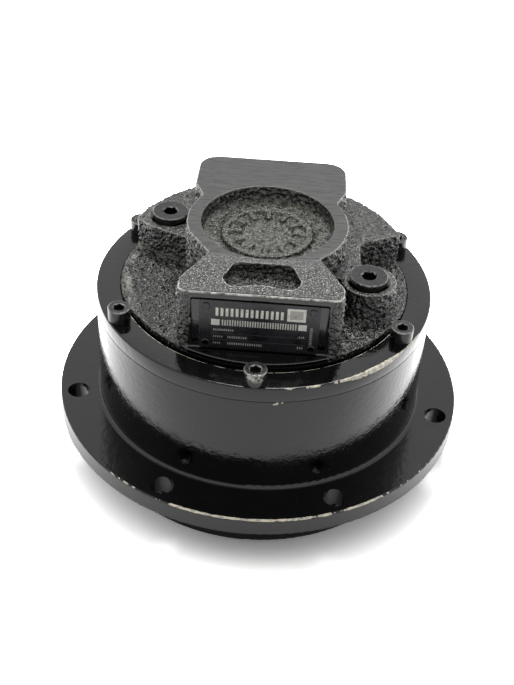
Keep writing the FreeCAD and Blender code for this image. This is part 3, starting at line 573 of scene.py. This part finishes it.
def posts(name, places, radius, low, high):
    """Upright round cutters at places (x, y), as one mesh."""
    bm = bmesh.new()
    for x, y in places:
        middle = Matrix.Translation((x * MM, y * MM, (low + high) / 2 * MM))
        bmesh.ops.create_cone(bm, cap_ends=True, segments=CUTTER_STEPS, radius1=radius * MM,
                              radius2=radius * MM, depth=(high - low) * MM, matrix=middle)
    mesh = bpy.data.meshes.new(name)
    bm.to_mesh(mesh)
    cutter = bpy.data.objects.new(name, mesh)
    bpy.context.scene.collection.objects.link(cutter)
    return cutter


def carve(piece, cutter, operation="DIFFERENCE"):
    """Cuts one mesh with another for good, and throws the cutter away."""
    modifier = piece.modifiers.new("carve", "BOOLEAN")
    modifier.operation = operation
    modifier.solver = "EXACT"
    modifier.object = cutter
    keep_result(piece)
    bpy.data.objects.remove(cutter)


def keep_result(piece):
    """Replaces a piece's mesh by what its modifiers make of it."""
    bpy.context.view_layer.update()
    result = bpy.data.meshes.new_from_object(piece.evaluated_get(bpy.context.evaluated_depsgraph_get()))
    piece.modifiers.clear()
    old = piece.data
    piece.data = result
    bpy.data.meshes.remove(old)


def on_circle(radius, count, start):
    """Places round the shaft axis."""
    spots = []
    for k in range(count):
        turn = math.radians(start + 360 * k / count)
        spots.append((radius * math.cos(turn), radius * math.sin(turn)))
    return spots


def shade_smooth(piece, angle=SHARP_ANGLE):
    """Smooth shading that keeps edges sharper than this angle."""
    mesh = piece.data
    mesh.shade_smooth()
    mesh.set_sharp_from_angle(angle=math.radians(angle))


# Each corner of the profile is its radius, height and round.
RIM_PROFILE = ((SPIGOT_INNER, SPIGOT_Z, 0.3), (SPIGOT_OUTER, SPIGOT_Z, 0.3), (SPIGOT_OUTER, SEAM_Z, 0),
               (BARREL_RADIUS, SEAM_Z, 0.5), (BARREL_RADIUS, RIM_Z, 1.1), (RIM_INNER, RIM_Z, 0.3),
               (RIM_INNER, RIM_FLOOR_Z, 0.4), (SPIGOT_INNER, RIM_FLOOR_Z, 0))
rim = spin("cover_rim", RIM_PROFILE)
carve(rim, posts("screw_holes", on_circle(SCREW_CIRCLE, 6, 90), SCREW_HOLE, SEAM_Z - 5, RIM_Z + 5))
carve(rim, posts("dowel_holes", on_circle(DOWEL_CIRCLE, 2, 30), DOWEL_HOLE, SPIGOT_Z - 5, CAVITY_Z))
shade_smooth(rim)
print("rim faces:", len(rim.data.polygons))

# %% [markdown]
# ## The casting
# Sand casting leaves three marks: every edge and corner is rounded, inside corners are filled, and the
# skin is grainy. Modelling each round by hand takes long, and a bevel fails where many faces meet.
# Rebuilding the solid from small voxels rounds everything at once. Then corners are filled by moving
# points only outwards where the skin is hollow. The grain moves points both ways, less near an edge, and
# no point may rise above the head's top, so the size stays true.
# %% Casting: cut the cast part free from the solid
VOXEL = 0.6
VOXEL_ROUNDS = 2
FILL_ROUNDS = 24
HEAD_Z = 126.0
PLATEAU_Z = 107.0
DECK_Z = 88.5
HEAD_BACK_Y = 77.5
HEAD_FRONT_Y = -69.5
PAD_DEPTH = 0.8
CAST_RADIUS = 85.9
CUT_MARGIN = 4.0
AXIS_RADIUS = 1e-4
JOIN_WITHIN = MM / 1000


def joined_copy(node, name):
    """A copy of a solid of the frame, with the points that its facets share joined again."""
    mesh = NODES[node].data.copy()
    bm = bmesh.new()
    bm.from_mesh(mesh)
    bmesh.ops.remove_doubles(bm, verts=bm.verts, dist=JOIN_WITHIN)
    bm.to_mesh(mesh)
    bm.free()
    piece = bpy.data.objects.new(name, mesh)
    bpy.context.scene.collection.objects.link(piece)
    return piece


casting = joined_copy("rear_cover", "cover_casting")
inner, floor, top = SPIGOT_INNER - 0.02, CAVITY_Z - 3, HEAD_Z + CUT_MARGIN
region = spin("cast_region", [(AXIS_RADIUS, floor, 0), (inner, floor, 0), (inner, RIM_FLOOR_Z, 0),
                              (CAST_RADIUS, RIM_FLOOR_Z, 0), (CAST_RADIUS, top, 0), (AXIS_RADIUS, top, 0)])
carve(casting, region, "INTERSECT")


def sharp_edges(mesh, angle=SHARP_ANGLE, gap=0.5):
    """Points along the edges that stand out sharply, at most this many millimetres apart."""
    bm = bmesh.new()
    bm.from_mesh(mesh)
    places = []
    for line in bm.edges:
        if line.is_manifold and line.calc_face_angle_signed(0) > math.radians(angle):
            a, b = (v.co / MM for v in line.verts)
            count = max(1, math.ceil((b - a).length / gap))
            places += [a.lerp(b, k / count) for k in range(count + 1)]
    bm.free()
    tree = kdtree.KDTree(len(places))
    for k, place in enumerate(places):
        tree.insert(place, k)
    tree.balance()
    return tree


outline = sharp_edges(casting.data)
print("casting faces before the voxels:", len(casting.data.polygons))

# %% Casting: rebuild from voxels and round it
def rebuild(piece, voxel):
    """A new skin of even squares over the same form."""
    modifier = piece.modifiers.new("rebuild", "REMESH")
    modifier.mode = "VOXEL"
    modifier.voxel_size = voxel * MM
    modifier.adaptivity = 0
    keep_result(piece)


class Skin:
    """The points of a mesh as arrays, so that thousands of them move at once."""

    def __init__(self, mesh):
        self.mesh = mesh
        self.points = np.empty(len(mesh.vertices) * 3)
        mesh.vertices.foreach_get("co", self.points)
        self.points = self.points.reshape(-1, 3) / MM
        self.edges = np.empty(len(mesh.edges) * 2, dtype=np.int64)
        mesh.edges.foreach_get("vertices", self.edges)
        self.edges = self.edges.reshape(-1, 2)
        self.degree = np.bincount(self.edges.ravel(), minlength=len(self.points)).reshape(-1, 1)

    def average(self, values):
        """The mean of each point's neighbours."""
        total = np.empty_like(values)
        for k in range(values.shape[1]):
            total[:, k] = np.bincount(self.edges[:, 0], values[self.edges[:, 1], k], len(values))
            total[:, k] += np.bincount(self.edges[:, 1], values[self.edges[:, 0], k], len(values))
        return total / np.maximum(self.degree, 1)

    def write(self):
        """Puts the moved points back into the mesh."""
        self.mesh.vertices.foreach_set("co", (self.points * MM).ravel())
        self.mesh.update()

    def normals(self):
        """The direction in which the skin faces at each point."""
        self.write()
        normals = np.empty(len(self.points) * 3)
        self.mesh.vertex_normals.foreach_get("vector", normals)
        return normals.reshape(-1, 3)

    def smooth(self, rounds, share=0.5):
        """Moves each point towards its neighbours' mean."""
        for _ in range(rounds):
            self.points += (self.average(self.points) - self.points) * share

    def fill_corners(self, rounds, where):
        """Moves points outwards where the skin is hollow, which rounds inside corners."""
        for _ in range(rounds):
            normals = self.normals()
            step = self.average(self.points) - self.points
            out = np.clip((step * normals).sum(1), 0, None)
            self.points += normals * (out * where)[:, None]

    def store(self, name, values):
        """Keeps a value at each point for the shader to read."""
        attribute = self.mesh.attributes.new(name, "FLOAT", "POINT")
        attribute.data.foreach_set("value", values.astype(np.float32))


rebuild(casting, VOXEL)
skin = Skin(casting.data)
skin.smooth(VOXEL_ROUNDS)
print("casting points:", len(skin.points))

# %% Casting: fill the inside corners, but not where a cutter went
PLUG_PLACES = ((-60.5, 35.0), (60.5, -20.0))
SPOTFACE = 13.0
PORT_X = 18.0
PORT_Z = 104.5
PORT_FACE = 14.5
PORT_BORE = 10.5
PORT_BORE_Y = (46.0, 50.0)
PAD_HALF_WIDTH = 38.0
# How far beyond a cut its smooth skin begins to turn rough, and where it is rough.
CUT_FADE = (0.3, 1.5)


def ramp(values, low, high):
    """0 below low, 1 above high, smooth between them."""
    t = np.clip((values - low) / (high - low), 0, 1)
    return t * t * (3 - 2 * t)


def beyond(reach, edge, fade=CUT_FADE):
    """0 within a cut of this size, 1 beyond it."""
    return ramp(reach, edge + fade[0], edge + fade[1])


def cast_share(points):
    """1 on the cast skin, 0 where a tool has cut: spotfaces, ports, the plate's pad and the inside."""
    x, y, z = points.T
    share = np.ones(len(points))
    for plug_x, plug_y in PLUG_PLACES:
        share *= beyond(np.hypot(x - plug_x, y - plug_y), SPOTFACE)
    for side in (-1, 1):
        reach = np.hypot(x - side * PORT_X, z - PORT_Z)
        share *= np.maximum(beyond(reach, PORT_FACE), ramp(HEAD_BACK_Y - y, 2.0, 3.0))
        share *= np.maximum(beyond(reach, PORT_BORE, (0.3, 0.8)), 1 - ramp(y, *PORT_BORE_Y))
    off_pad = beyond(np.abs(x), PAD_HALF_WIDTH, (0.2, 1.4))
    share *= np.maximum(off_pad, beyond(y, HEAD_FRONT_Y + PAD_DEPTH, (0.8, 2.0)))
    share *= ramp(z, RIM_FLOOR_Z + 0.2, RIM_FLOOR_Z + 1.0)
    return share


share = cast_share(skin.points)
skin.fill_corners(FILL_ROUNDS, share)
skin.smooth(1)
print("cast skin share: %.2f" % share.mean())

# %% Casting: grain, less of it near an edge and where the top was machined
# Three sizes of lumps, and how high each is on the head's top, on the low decks and on the walls.
GRAIN_SIZES = (2.3, 1.2, 9.0)
TOP_GRAIN = (0.45, 0.40, 0.25)
DECK_GRAIN = (1.10, 0.70, 0.50)
WALL_GRAIN = (1.05, 0.75, 0.45)
DECKS_BELOW = (92.0, 100.0)
CALM_Y = (-46.0, -26.0)
CALM_SHARE = 0.08
EDGE_SHARE = 0.35


def grain_field(points, size, seed):
    """Smooth lumps of this size at each point, from -1 to 1, in another place for each seed."""
    shift = Vector((seed * 17.0, seed * 31.0, seed * 7.0))
    return np.array([noise.noise(Vector(p) / size + shift) for p in points])


def machined_top(points):
    """1 on the smooth rear part of the head's top, 0 on the rough front and everywhere lower."""
    x, y, z = points.T
    return ramp(z, HEAD_Z - 1.0, HEAD_Z - 0.4) * ramp(y, *CALM_Y)


share = cast_share(skin.points)
calm = machined_top(skin.points)
away = np.array([outline.find(Vector(p))[2] for p in skin.points])
flat = np.abs(skin.normals()[:, 2])
lumps = [grain_field(skin.points, size, k) for k, size in enumerate(GRAIN_SIZES)]
low = 1 - ramp(skin.points[:, 2], *DECKS_BELOW)
height = np.zeros(len(away))
for field, on_top, on_deck, on_wall in zip(lumps, TOP_GRAIN, DECK_GRAIN, WALL_GRAIN):
    height += field * ((on_deck * low + on_top * (1 - low)) * flat + on_wall * (1 - flat))
behind_front = beyond(skin.points[:, 1], HEAD_FRONT_Y, (1.5, 3.5))
height *= 1 - (1 - ramp(away, 1.0, 2.5)) * (1 - behind_front)
height *= share * (1 - (1 - CALM_SHARE) * calm) * (EDGE_SHARE + (1 - EDGE_SHARE) * ramp(away, 0.6, 3.0))
skin.points += skin.normals() * height[:, None]
skin.points[:, 2] = np.minimum(skin.points[:, 2], HEAD_Z)
skin.write()
# How high the two smaller lumps stand; the paint turns this into painted highlights on highs and painted
# shade in hollows.
rise = np.clip(0.5 + 0.40 * lumps[0] + 0.55 * lumps[1], 0, 1)
for name, values in (("edge", 1 - ramp(away, 0.2, 1.3)), ("rise", rise), ("calm", calm), ("cast", share)):
    skin.store(name, values)
casting.data.shade_smooth()
print("grain: %.2f to %.2f mm" % (height.min(), height.max()))

# %% [markdown]
# ## Painted cast iron
# The casting was painted with the same black. On the rough skin each lump catches the lamp, and the paint
# adds to it: the high grains are painted lighter as a highlight and the hollows darker as shade, so from
# afar it reads as grey. Pale specks on up-facing grains are partly rubbed paint and partly painted glints,
# and the pale line on the head's edges is partly rubbed paint and partly a painted highlight.
# The mesh carries how near an edge, how high and how machined each point is, and the shader mixes by those.
# A pair of numbers after a grain says where that noise begins to count and where it counts in full.
# %% Cast paint: where the edges are rubbed, and where a highlight is painted on them
# The first two colours paint shade into the grains' hollows and a highlight onto their high points.
CAST_HOLLOW_SHADE = (0.002, 0.0025, 0.002)
CAST_GRAIN_HIGHLIGHT = (0.074, 0.078, 0.060)
TOP_DARK = (0.001, 0.002, 0.002)
TOP_LIGHT = (0.034, 0.037, 0.032)
# A pale colour for rubbed paint and for painted highlights and glints.
WORN_AND_HIGHLIGHT_PALE = (0.60, 0.59, 0.53)
DISH_MIDDLE_Y = 5.5
DISH_REACH = 39.0
FRONT_PALE_Y = (-50.0, -60.0)
BEHIND_PALE = 0.4
PLATEAU_PALE = 0.30
SCUFF_BAND = (79.5, 83.5)
SCUFF_ANGLES = (-118, -62)


def dish_reach(f):
    """Distance from the middle of the dish in the head's top."""
    x, y, z = f.axes()
    along = f.math("SUBTRACT", y, DISH_MIDDLE_Y)
    return f.math("SQRT", f.math("ADD", f.math("MULTIPLY", x, x), f.math("MULTIPLY", along, along)))


def edge_wear_and_highlight(f):
    """Pale edges, partly rubbed paint and partly a painted highlight: hard along the head's front, patchy
    behind it, faint on the plateau, none below.
    """
    x, y, z = f.axes()
    top = f.between(z, HEAD_Z - 2.6, HEAD_Z - 1.4)
    front = f.between(y, *FRONT_PALE_Y)
    dish = f.between(dish_reach(f), DISH_REACH + 1.0, DISH_REACH + 2.5, 0.35, 1.0)
    hard = f.math("ADD", f.math("MULTIPLY", front, 1 - BEHIND_PALE), BEHIND_PALE)
    head = f.math("MULTIPLY", f.math("MULTIPLY", top, dish), hard)
    plateau = f.math("MULTIPLY", window(f, z, PLATEAU_Z - 2.5, PLATEAU_Z + 1.0, 0.5), PLATEAU_PALE)
    level = f.math("MAXIMUM", head, plateau)
    near = f.math("ADD", f.attribute("edge"), f.math("MULTIPLY", f.math("MULTIPLY", front, top), 0.25))
    ragged = f.between(f.grain(3.2, 4, 0.7), 0.34, 0.62)
    # The pale line on the edges is partly rubbed paint and partly a painted highlight.
    pale_edge = f.math("MULTIPLY", level, f.math("ADD", f.math("MULTIPLY", ragged, 0.95), 0.10))
    scuffed = f.math("MULTIPLY", window(f, f.radius(), *SCUFF_BAND, 1.2), sector(f, *SCUFF_ANGLES, 9))
    drawn = f.grain(6, 4, 0.7, f.stretched(1, 0.4, 1))
    scuffed = f.math("MULTIPLY", scuffed, f.between(drawn, 0.42, 0.62, 0.0, 0.4))
    scuffed = f.math("MULTIPLY", scuffed, f.between(z, DECK_Z + 2.0, DECK_Z + 3.0, 1.0, 0.0))
    return f.math("MAXIMUM", f.math("MULTIPLY", f.between(near, 0.45, 0.80), pale_edge, True), scuffed)


print("edge wear ready")

# %% Cast paint: painted shade in hollows, painted highlights and glints on grains, and a smoother top
HAMMER_SIZE = 2.0
HAMMER_DEPTH = 1.45
DISH_LIFT = 0.22
# Where pale specks crowd near the head's front; they are partly rubbed paint and partly painted glints.
FRONT_SPECK_Y = (-26.0, -44.0)


def cast_paint():
    f = Finish("cover_paint")
    x, y, z = f.axes()
    calm = f.attribute("calm")
    smooth = f.math("SUBTRACT", 1.0, f.attribute("cast"))
    skin_grain = f.grain(1.0, 3, 0.7)
    hammered = f.grain(HAMMER_SIZE, 2, 0.6)
    up = f.between(f.facing(), 0.05, 0.75, 0.1, 1.0)
    rise = f.math("ADD", f.attribute("rise"), f.math("SUBTRACT", skin_grain, 0.5))
    # The dish floor is painted lighter by raising the grains' height there.
    inside_dish = f.math("MULTIPLY", f.between(dish_reach(f), DISH_REACH - 1.5, DISH_REACH - 0.5, 1.0, 0.0),
                         f.between(z, HEAD_Z - 12.0, HEAD_Z - 11.0))
    rise = f.math("ADD", rise, f.math("MULTIPLY", inside_dish, DISH_LIFT))
    # Painted light: high grains take the lighter colour as a painted highlight, hollows the darker one as
    # painted shade.
    body = f.mix(f.between(rise, 0.53, 0.80), CAST_HOLLOW_SHADE, CAST_GRAIN_HIGHLIGHT)
    streak = f.grain(1.0, 4, 0.65, f.stretched(0.05, 0.8, 0.5))
    top = f.mix(f.between(streak, 0.38, 0.64), TOP_DARK, TOP_LIGHT)
    colour = f.mix(calm, body, top)
    # Pale specks on grains that face up: partly rubbed paint, partly painted glints where the lamp catches
    # them.
    front = f.math("MULTIPLY", f.between(y, *FRONT_SPECK_Y), f.between(z, HEAD_Z - 2.5, HEAD_Z - 0.8))
    fine = f.between(f.grain(1.0, 3, 0.7), 0.58, 0.64)
    speck_patches = f.between(f.grain(16, 4, 0.6), 0.40, 0.62, 0.06, 0.34)
    glint_and_rubbed_speck = f.math("MULTIPLY", f.math("MULTIPLY", fine, up), f.math("MAXIMUM", speck_patches, front))
    glint_and_rubbed_speck = f.math("MULTIPLY", glint_and_rubbed_speck, f.math("SUBTRACT", 1.0, f.math("MULTIPLY", calm, 0.85)))
    colour = f.mix(glint_and_rubbed_speck, colour, WORN_AND_HIGHLIGHT_PALE)
    colour = f.mix(smooth, colour, PAINT_BLACK)
    colour = f.mix(edge_wear_and_highlight(f), colour, WORN_AND_HIGHLIGHT_PALE)
    rough = f.between(skin_grain, 0.3, 0.7, 0.09, 0.20)
    rough = f.math("ADD", rough, f.math("MULTIPLY", calm, f.between(streak, 0.34, 0.66, 0.12, 0.28)))
    flat = f.math("MAXIMUM", f.math("MULTIPLY", calm, 0.88), f.math("MULTIPLY", smooth, 0.95))
    normal = f.bump(hammered, f.math("SUBTRACT", 1.0, flat), HAMMER_DEPTH)
    return f.set(Base_Color=colour, Roughness=rough, Normal=normal, Specular_IOR_Level=0.72)


casting.data.materials.clear()
casting.data.materials.append(cast_paint())
rim.data.materials.append(gloss_paint("rim_paint", rim_chips_and_highlight))
for piece in (casting, rim):
    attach(piece, "motor_body")
    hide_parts("rear_cover")
print("cover dressed")

# %% [markdown]
# ## Screws, plugs and the plate
# The screws were painted over; the pale ring on their mouths and shoulders is partly paint that a key has
# scraped bare and partly a painted highlight. A worn edge could be masked with geometry lookups, but on
# small turned heads the slope
# of the surface alone finds them: a chamfer is neither flat nor upright. The plugs were fitted after
# painting, in a duller grey, and their upright sides are painted darker as shade.
# %% Screws and plugs
SCREW_TOP_Z = 95.0
SCREW_FRONT_Y = (-97.0, -98.5)
SCREW_FRONT_Z = (89.0, 92.5)
PLUG_SEAT_Z = 107.2
SCREW_DARK = (0.004, 0.004, 0.005)
SCREW_PALE = (0.020, 0.020, 0.020)
# A pale colour for scraped edges, which on the screws is partly a painted highlight.
PALE_EDGE_GREY = (0.30, 0.30, 0.28)
PLUG_GREY = (0.004, 0.0045, 0.004)
PLUG_PALE = (0.018, 0.019, 0.018)
# The colour of the plugs' upright sides, darker as painted shade.
PLUG_SIDE_SHADE = (0.004, 0.004, 0.004)


def chamfer_share(f, low, high):
    """1 where the surface leans and lies above a height: the shoulders and mouths of turned heads."""
    x, y, z = f.axes()
    slope = f.math("ABSOLUTE", f.facing())
    leaning = f.math("MULTIPLY", f.between(slope, 0.15, 0.35), f.between(slope, 0.93, 0.99, 1.0, 0.0))
    return f.math("MULTIPLY", leaning, f.between(z, low, high))


def screw_paint():
    f = Finish("screw_paint")
    # The pale ring on the shoulders and mouths, carried on as the bare share, is partly scraped paint and
    # partly a painted highlight.
    shoulder = chamfer_share(f, SCREW_TOP_Z - 2.5, SCREW_TOP_Z - 1.5)
    shoulder_wear_and_highlight = f.math("MULTIPLY", shoulder, f.between(f.grain(2.5, 3, 0.6), 0.30, 0.55, 0.2, 0.9))
    x, y, z = f.axes()
    front = f.math("MULTIPLY", f.between(y, *SCREW_FRONT_Y), f.between(z, *SCREW_FRONT_Z))
    front = f.math("MULTIPLY", front, f.between(f.grain(2.0, 3, 0.6), 0.42, 0.55))
    bare = f.math("MAXIMUM", shoulder_wear_and_highlight, front)
    colour = f.mix(f.between(f.grain(3, 3), 0.4, 0.7), SCREW_DARK, SCREW_PALE)
    colour = f.mix(bare, colour, PALE_EDGE_GREY)
    rough = f.between(f.grain(2, 3), 0.3, 0.7, 0.18, 0.34)
    return f.set(Base_Color=colour, Roughness=rough, Metallic=f.math("MULTIPLY", bare, 0.5),
                 Normal=f.bump(f.grain(1.2, 3), 0.3, 0.06))


def plug_paint():
    f = Finish("plug_paint")
    blotch = f.between(f.grain(3.5, 4, 0.65), 0.35, 0.68)
    colour = f.mix(blotch, PLUG_GREY, PLUG_PALE)
    # Painted shade: the plugs' upright sides are painted darker, as if in shadow.
    side = f.between(f.math("ABSOLUTE", f.facing()), 0.2, 0.5)
    colour = f.mix(side, PLUG_SIDE_SHADE, colour)
    edge = f.math("MULTIPLY", chamfer_share(f, PLUG_SEAT_Z + 1.0, PLUG_SEAT_Z + 1.8),
                  f.between(f.grain(2.5, 3, 0.6), 0.35, 0.6, 0.1, 0.8))
    colour = f.mix(edge, colour, PALE_EDGE_GREY)
    rough = f.between(f.grain(1.2, 3, 0.6), 0.3, 0.7, 0.20, 0.36)
    return f.set(Base_Color=colour, Roughness=rough, Specular_IOR_Level=0.38,
                 Normal=f.bump(f.grain(0.9, 3, 0.6), 0.5, 0.08))


dress("cover_screws", screw_paint())
dress("drain_plugs", plug_paint())
print("screws and plugs painted")

# %% Plate: a ruler, a frame, a ruled band and blank fields
PLATE_INK = (0.80, 0.79, 0.72)
PLATE_BLACK = (0.006, 0.006, 0.009)
PLATE_GREY = (0.012, 0.012, 0.016)
PLATE_FADE = 0.12
# Each ruled area is x from, x to, z from, z to, the pitch of its bars (0 for solid) and how bright it is.
PLATE_AREAS = (
    (-25.0, 13.2, 111.2, 116.6, 2.73, 1.0),
    (-26.2, -21.6, 104.8, 108.8, 0, 1.0),
    (-20.8, 20.6, 104.8, 108.8, 1.38, 0.80),
    (21.4, 26.0, 104.8, 108.8, 0, 1.0),
    (-25.0, -13.5, 101.0, 102.4, 1.15, 0.55),
    (-25.0, -19.5, 96.4, 97.6, 1.15, 0.45),
    (-17.0, -6.0, 96.2, 97.8, 1.25, 0.55),
    (-25.0, -21.0, 91.9, 93.1, 1.15, 0.45),
    (-17.0, 2.0, 91.8, 93.4, 1.25, 0.60),
    (21.5, 25.0, 99.6, 100.8, 1.15, 0.5),
    (21.5, 24.5, 92.0, 93.6, 1.25, 0.6),
)
PLATE_FRAME = (15.0, 25.2, 110.6, 119.2)
FRAME_WIDTH = 1.5
FRAME_FILL = 0.45
STRIP = (27.8, 29.4, 95.0, 107.0)
STRIP_PITCH = 1.25
STRIP_INK = 0.4
RULES_Z = (99.4, 94.8)
RULES_X = (-26.2, 26.0)
RULE_HALF = 0.1
RULE_INK = 0.15


def bars(f, value, pitch, share=0.55):
    """Even bars at this pitch, each filling this share of it."""
    place = f.math("FRACT", f.math("DIVIDE", value, pitch))
    return window(f, place, 0.5 - share / 2, 0.5 + share / 2, PLATE_FADE / pitch)


def field(f, x0, x1, z0, z1):
    """1 within this rectangle of the plate."""
    x, y, z = f.axes()
    return f.math("MULTIPLY", window(f, x, x0, x1), window(f, z, z0, z1))


def plate_print(f):
    """How much ink lies at each place of the plate."""
    x, y, z = f.axes()
    ink = 0.0
    for x0, x1, z0, z1, pitch, bright in PLATE_AREAS:
        area = field(f, x0, x1, z0, z1)
        if pitch:
            area = f.math("MULTIPLY", area, bars(f, x, pitch))
        ink = f.math("MAXIMUM", ink, f.math("MULTIPLY", area, bright))
    x0, x1, z0, z1 = PLATE_FRAME
    inner = field(f, x0 + FRAME_WIDTH, x1 - FRAME_WIDTH, z0 + FRAME_WIDTH, z1 - FRAME_WIDTH)
    frame_ink = f.math("SUBTRACT", field(f, *PLATE_FRAME), f.math("MULTIPLY", inner, FRAME_FILL))
    ink = f.math("MAXIMUM", ink, frame_ink)
    strip = f.math("MULTIPLY", field(f, *STRIP), bars(f, z, STRIP_PITCH))
    ink = f.math("MAXIMUM", ink, f.math("MULTIPLY", strip, STRIP_INK))
    for height in RULES_Z:
        rule = field(f, *RULES_X, height - RULE_HALF, height + RULE_HALF)
        ink = f.math("MAXIMUM", ink, f.math("MULTIPLY", rule, RULE_INK))
    front = f.between(y, HEAD_FRONT_Y, HEAD_FRONT_Y - 0.15)
    return f.math("MULTIPLY", ink, front)


def plate_black():
    f = Finish("plate_black")
    ink = plate_print(f)
    ink = f.math("MULTIPLY", ink, f.between(f.grain(2.2, 4, 0.7), 0.30, 0.46, 0.55, 1.0))
    colour = f.mix(f.between(f.grain(9, 3), 0.35, 0.7), PLATE_BLACK, PLATE_GREY)
    colour = f.mix(ink, colour, PLATE_INK)
    rough = f.between(f.grain(4, 3), 0.3, 0.7, 0.24, 0.36)
    return f.set(Base_Color=colour, Roughness=rough, Normal=f.bump(f.grain(7, 2), 0.3, 0.12))


dress("nameplate", plate_black())
dress("nameplate_pins", gloss_paint("pin_paint"))
print("plate printed")

# %% [markdown]
# ## The parts inside
# Bearings, pistons, springs and seals only show when the motor is taken apart, but each is a real surface:
# a lathe or a grinder leaves fine rings round the axis, oil stains the steel, and rubber is dull and even.
# One function with a few numbers covers them all, and the record says which node has which finish.
# %% Inside finishes
# Each metal is its dark and light colour, its least and most roughness, and the pitch of its cutting rings.
METALS = {
    "ground_steel": ((0.48, 0.49, 0.50), (0.62, 0.62, 0.63), 0.12, 0.24, 0.3),
    "machined_steel": ((0.36, 0.36, 0.37), (0.50, 0.50, 0.50), 0.22, 0.40, 0.7),
    "machined_iron": ((0.20, 0.20, 0.20), (0.33, 0.33, 0.32), 0.32, 0.52, 0.9),
    "spring_steel": ((0.24, 0.25, 0.27), (0.38, 0.39, 0.40), 0.20, 0.34, 0.5),
}
OIL_BROWN = (0.085, 0.060, 0.035)
RUBBER_BLACK = (0.010, 0.010, 0.010)
RUBBER_GREY = (0.030, 0.030, 0.029)
RING_SHARE = 0.3
MARK_DEPTH = 0.02


def cut_rings(f, pitch):
    """Fine even rings that a turning or grinding tool leaves, from 0 to 1."""
    x, y, z = f.axes()
    along = f.math("ADD", f.radius(), z)
    wobble = f.math("MULTIPLY", f.grain(6, 2), pitch)
    wave = f.math("SINE", f.math("MULTIPLY", f.math("ADD", along, wobble), 2 * math.pi / pitch))
    return f.math("ADD", f.math("MULTIPLY", wave, 0.5), 0.5)


def cut_metal(name):
    dark, light, smooth, rough, pitch = METALS[name]
    f = Finish(name)
    rings = cut_rings(f, pitch)
    patches = f.between(f.grain(14, 4, 0.6), 0.35, 0.65)
    patches = f.math("MULTIPLY", patches, 1 - RING_SHARE)
    colour = f.mix(f.math("ADD", patches, f.math("MULTIPLY", rings, RING_SHARE)), dark, light)
    oil = f.between(f.grain(22, 4, 0.65), 0.52, 0.68, 0.0, 0.35)
    colour = f.mix(oil, colour, OIL_BROWN)
    dull = f.between(f.grain(5, 4, 0.6), 0.3, 0.7, smooth, rough)
    marks = f.bump(rings, 0.5, pitch * MARK_DEPTH)
    marks = f.bump(f.grain(0.8, 3), 0.2, MARK_DEPTH, marks)
    return f.set(Base_Color=colour, Roughness=dull, Metallic=1.0, Normal=marks)


def seal_rubber():
    f = Finish("seal_rubber")
    bloom = f.between(f.grain(8, 4, 0.6), 0.40, 0.70)
    colour = f.mix(bloom, RUBBER_BLACK, RUBBER_GREY)
    dull = f.between(f.grain(3, 3), 0.3, 0.7, 0.50, 0.72)
    return f.set(Base_Color=colour, Roughness=dull, Normal=f.bump(f.grain(0.5, 3), 0.3, 0.04))


inside = {name: cut_metal(name) for name in METALS}
inside["seal_rubber"] = seal_rubber()
dressed = 0
for row in frame["record"]["subparts"]:
    if row["material_slot"] in inside:
        dress(row["node"], inside[row["material_slot"]])
        dressed += 1
print("inside nodes dressed:", dressed)
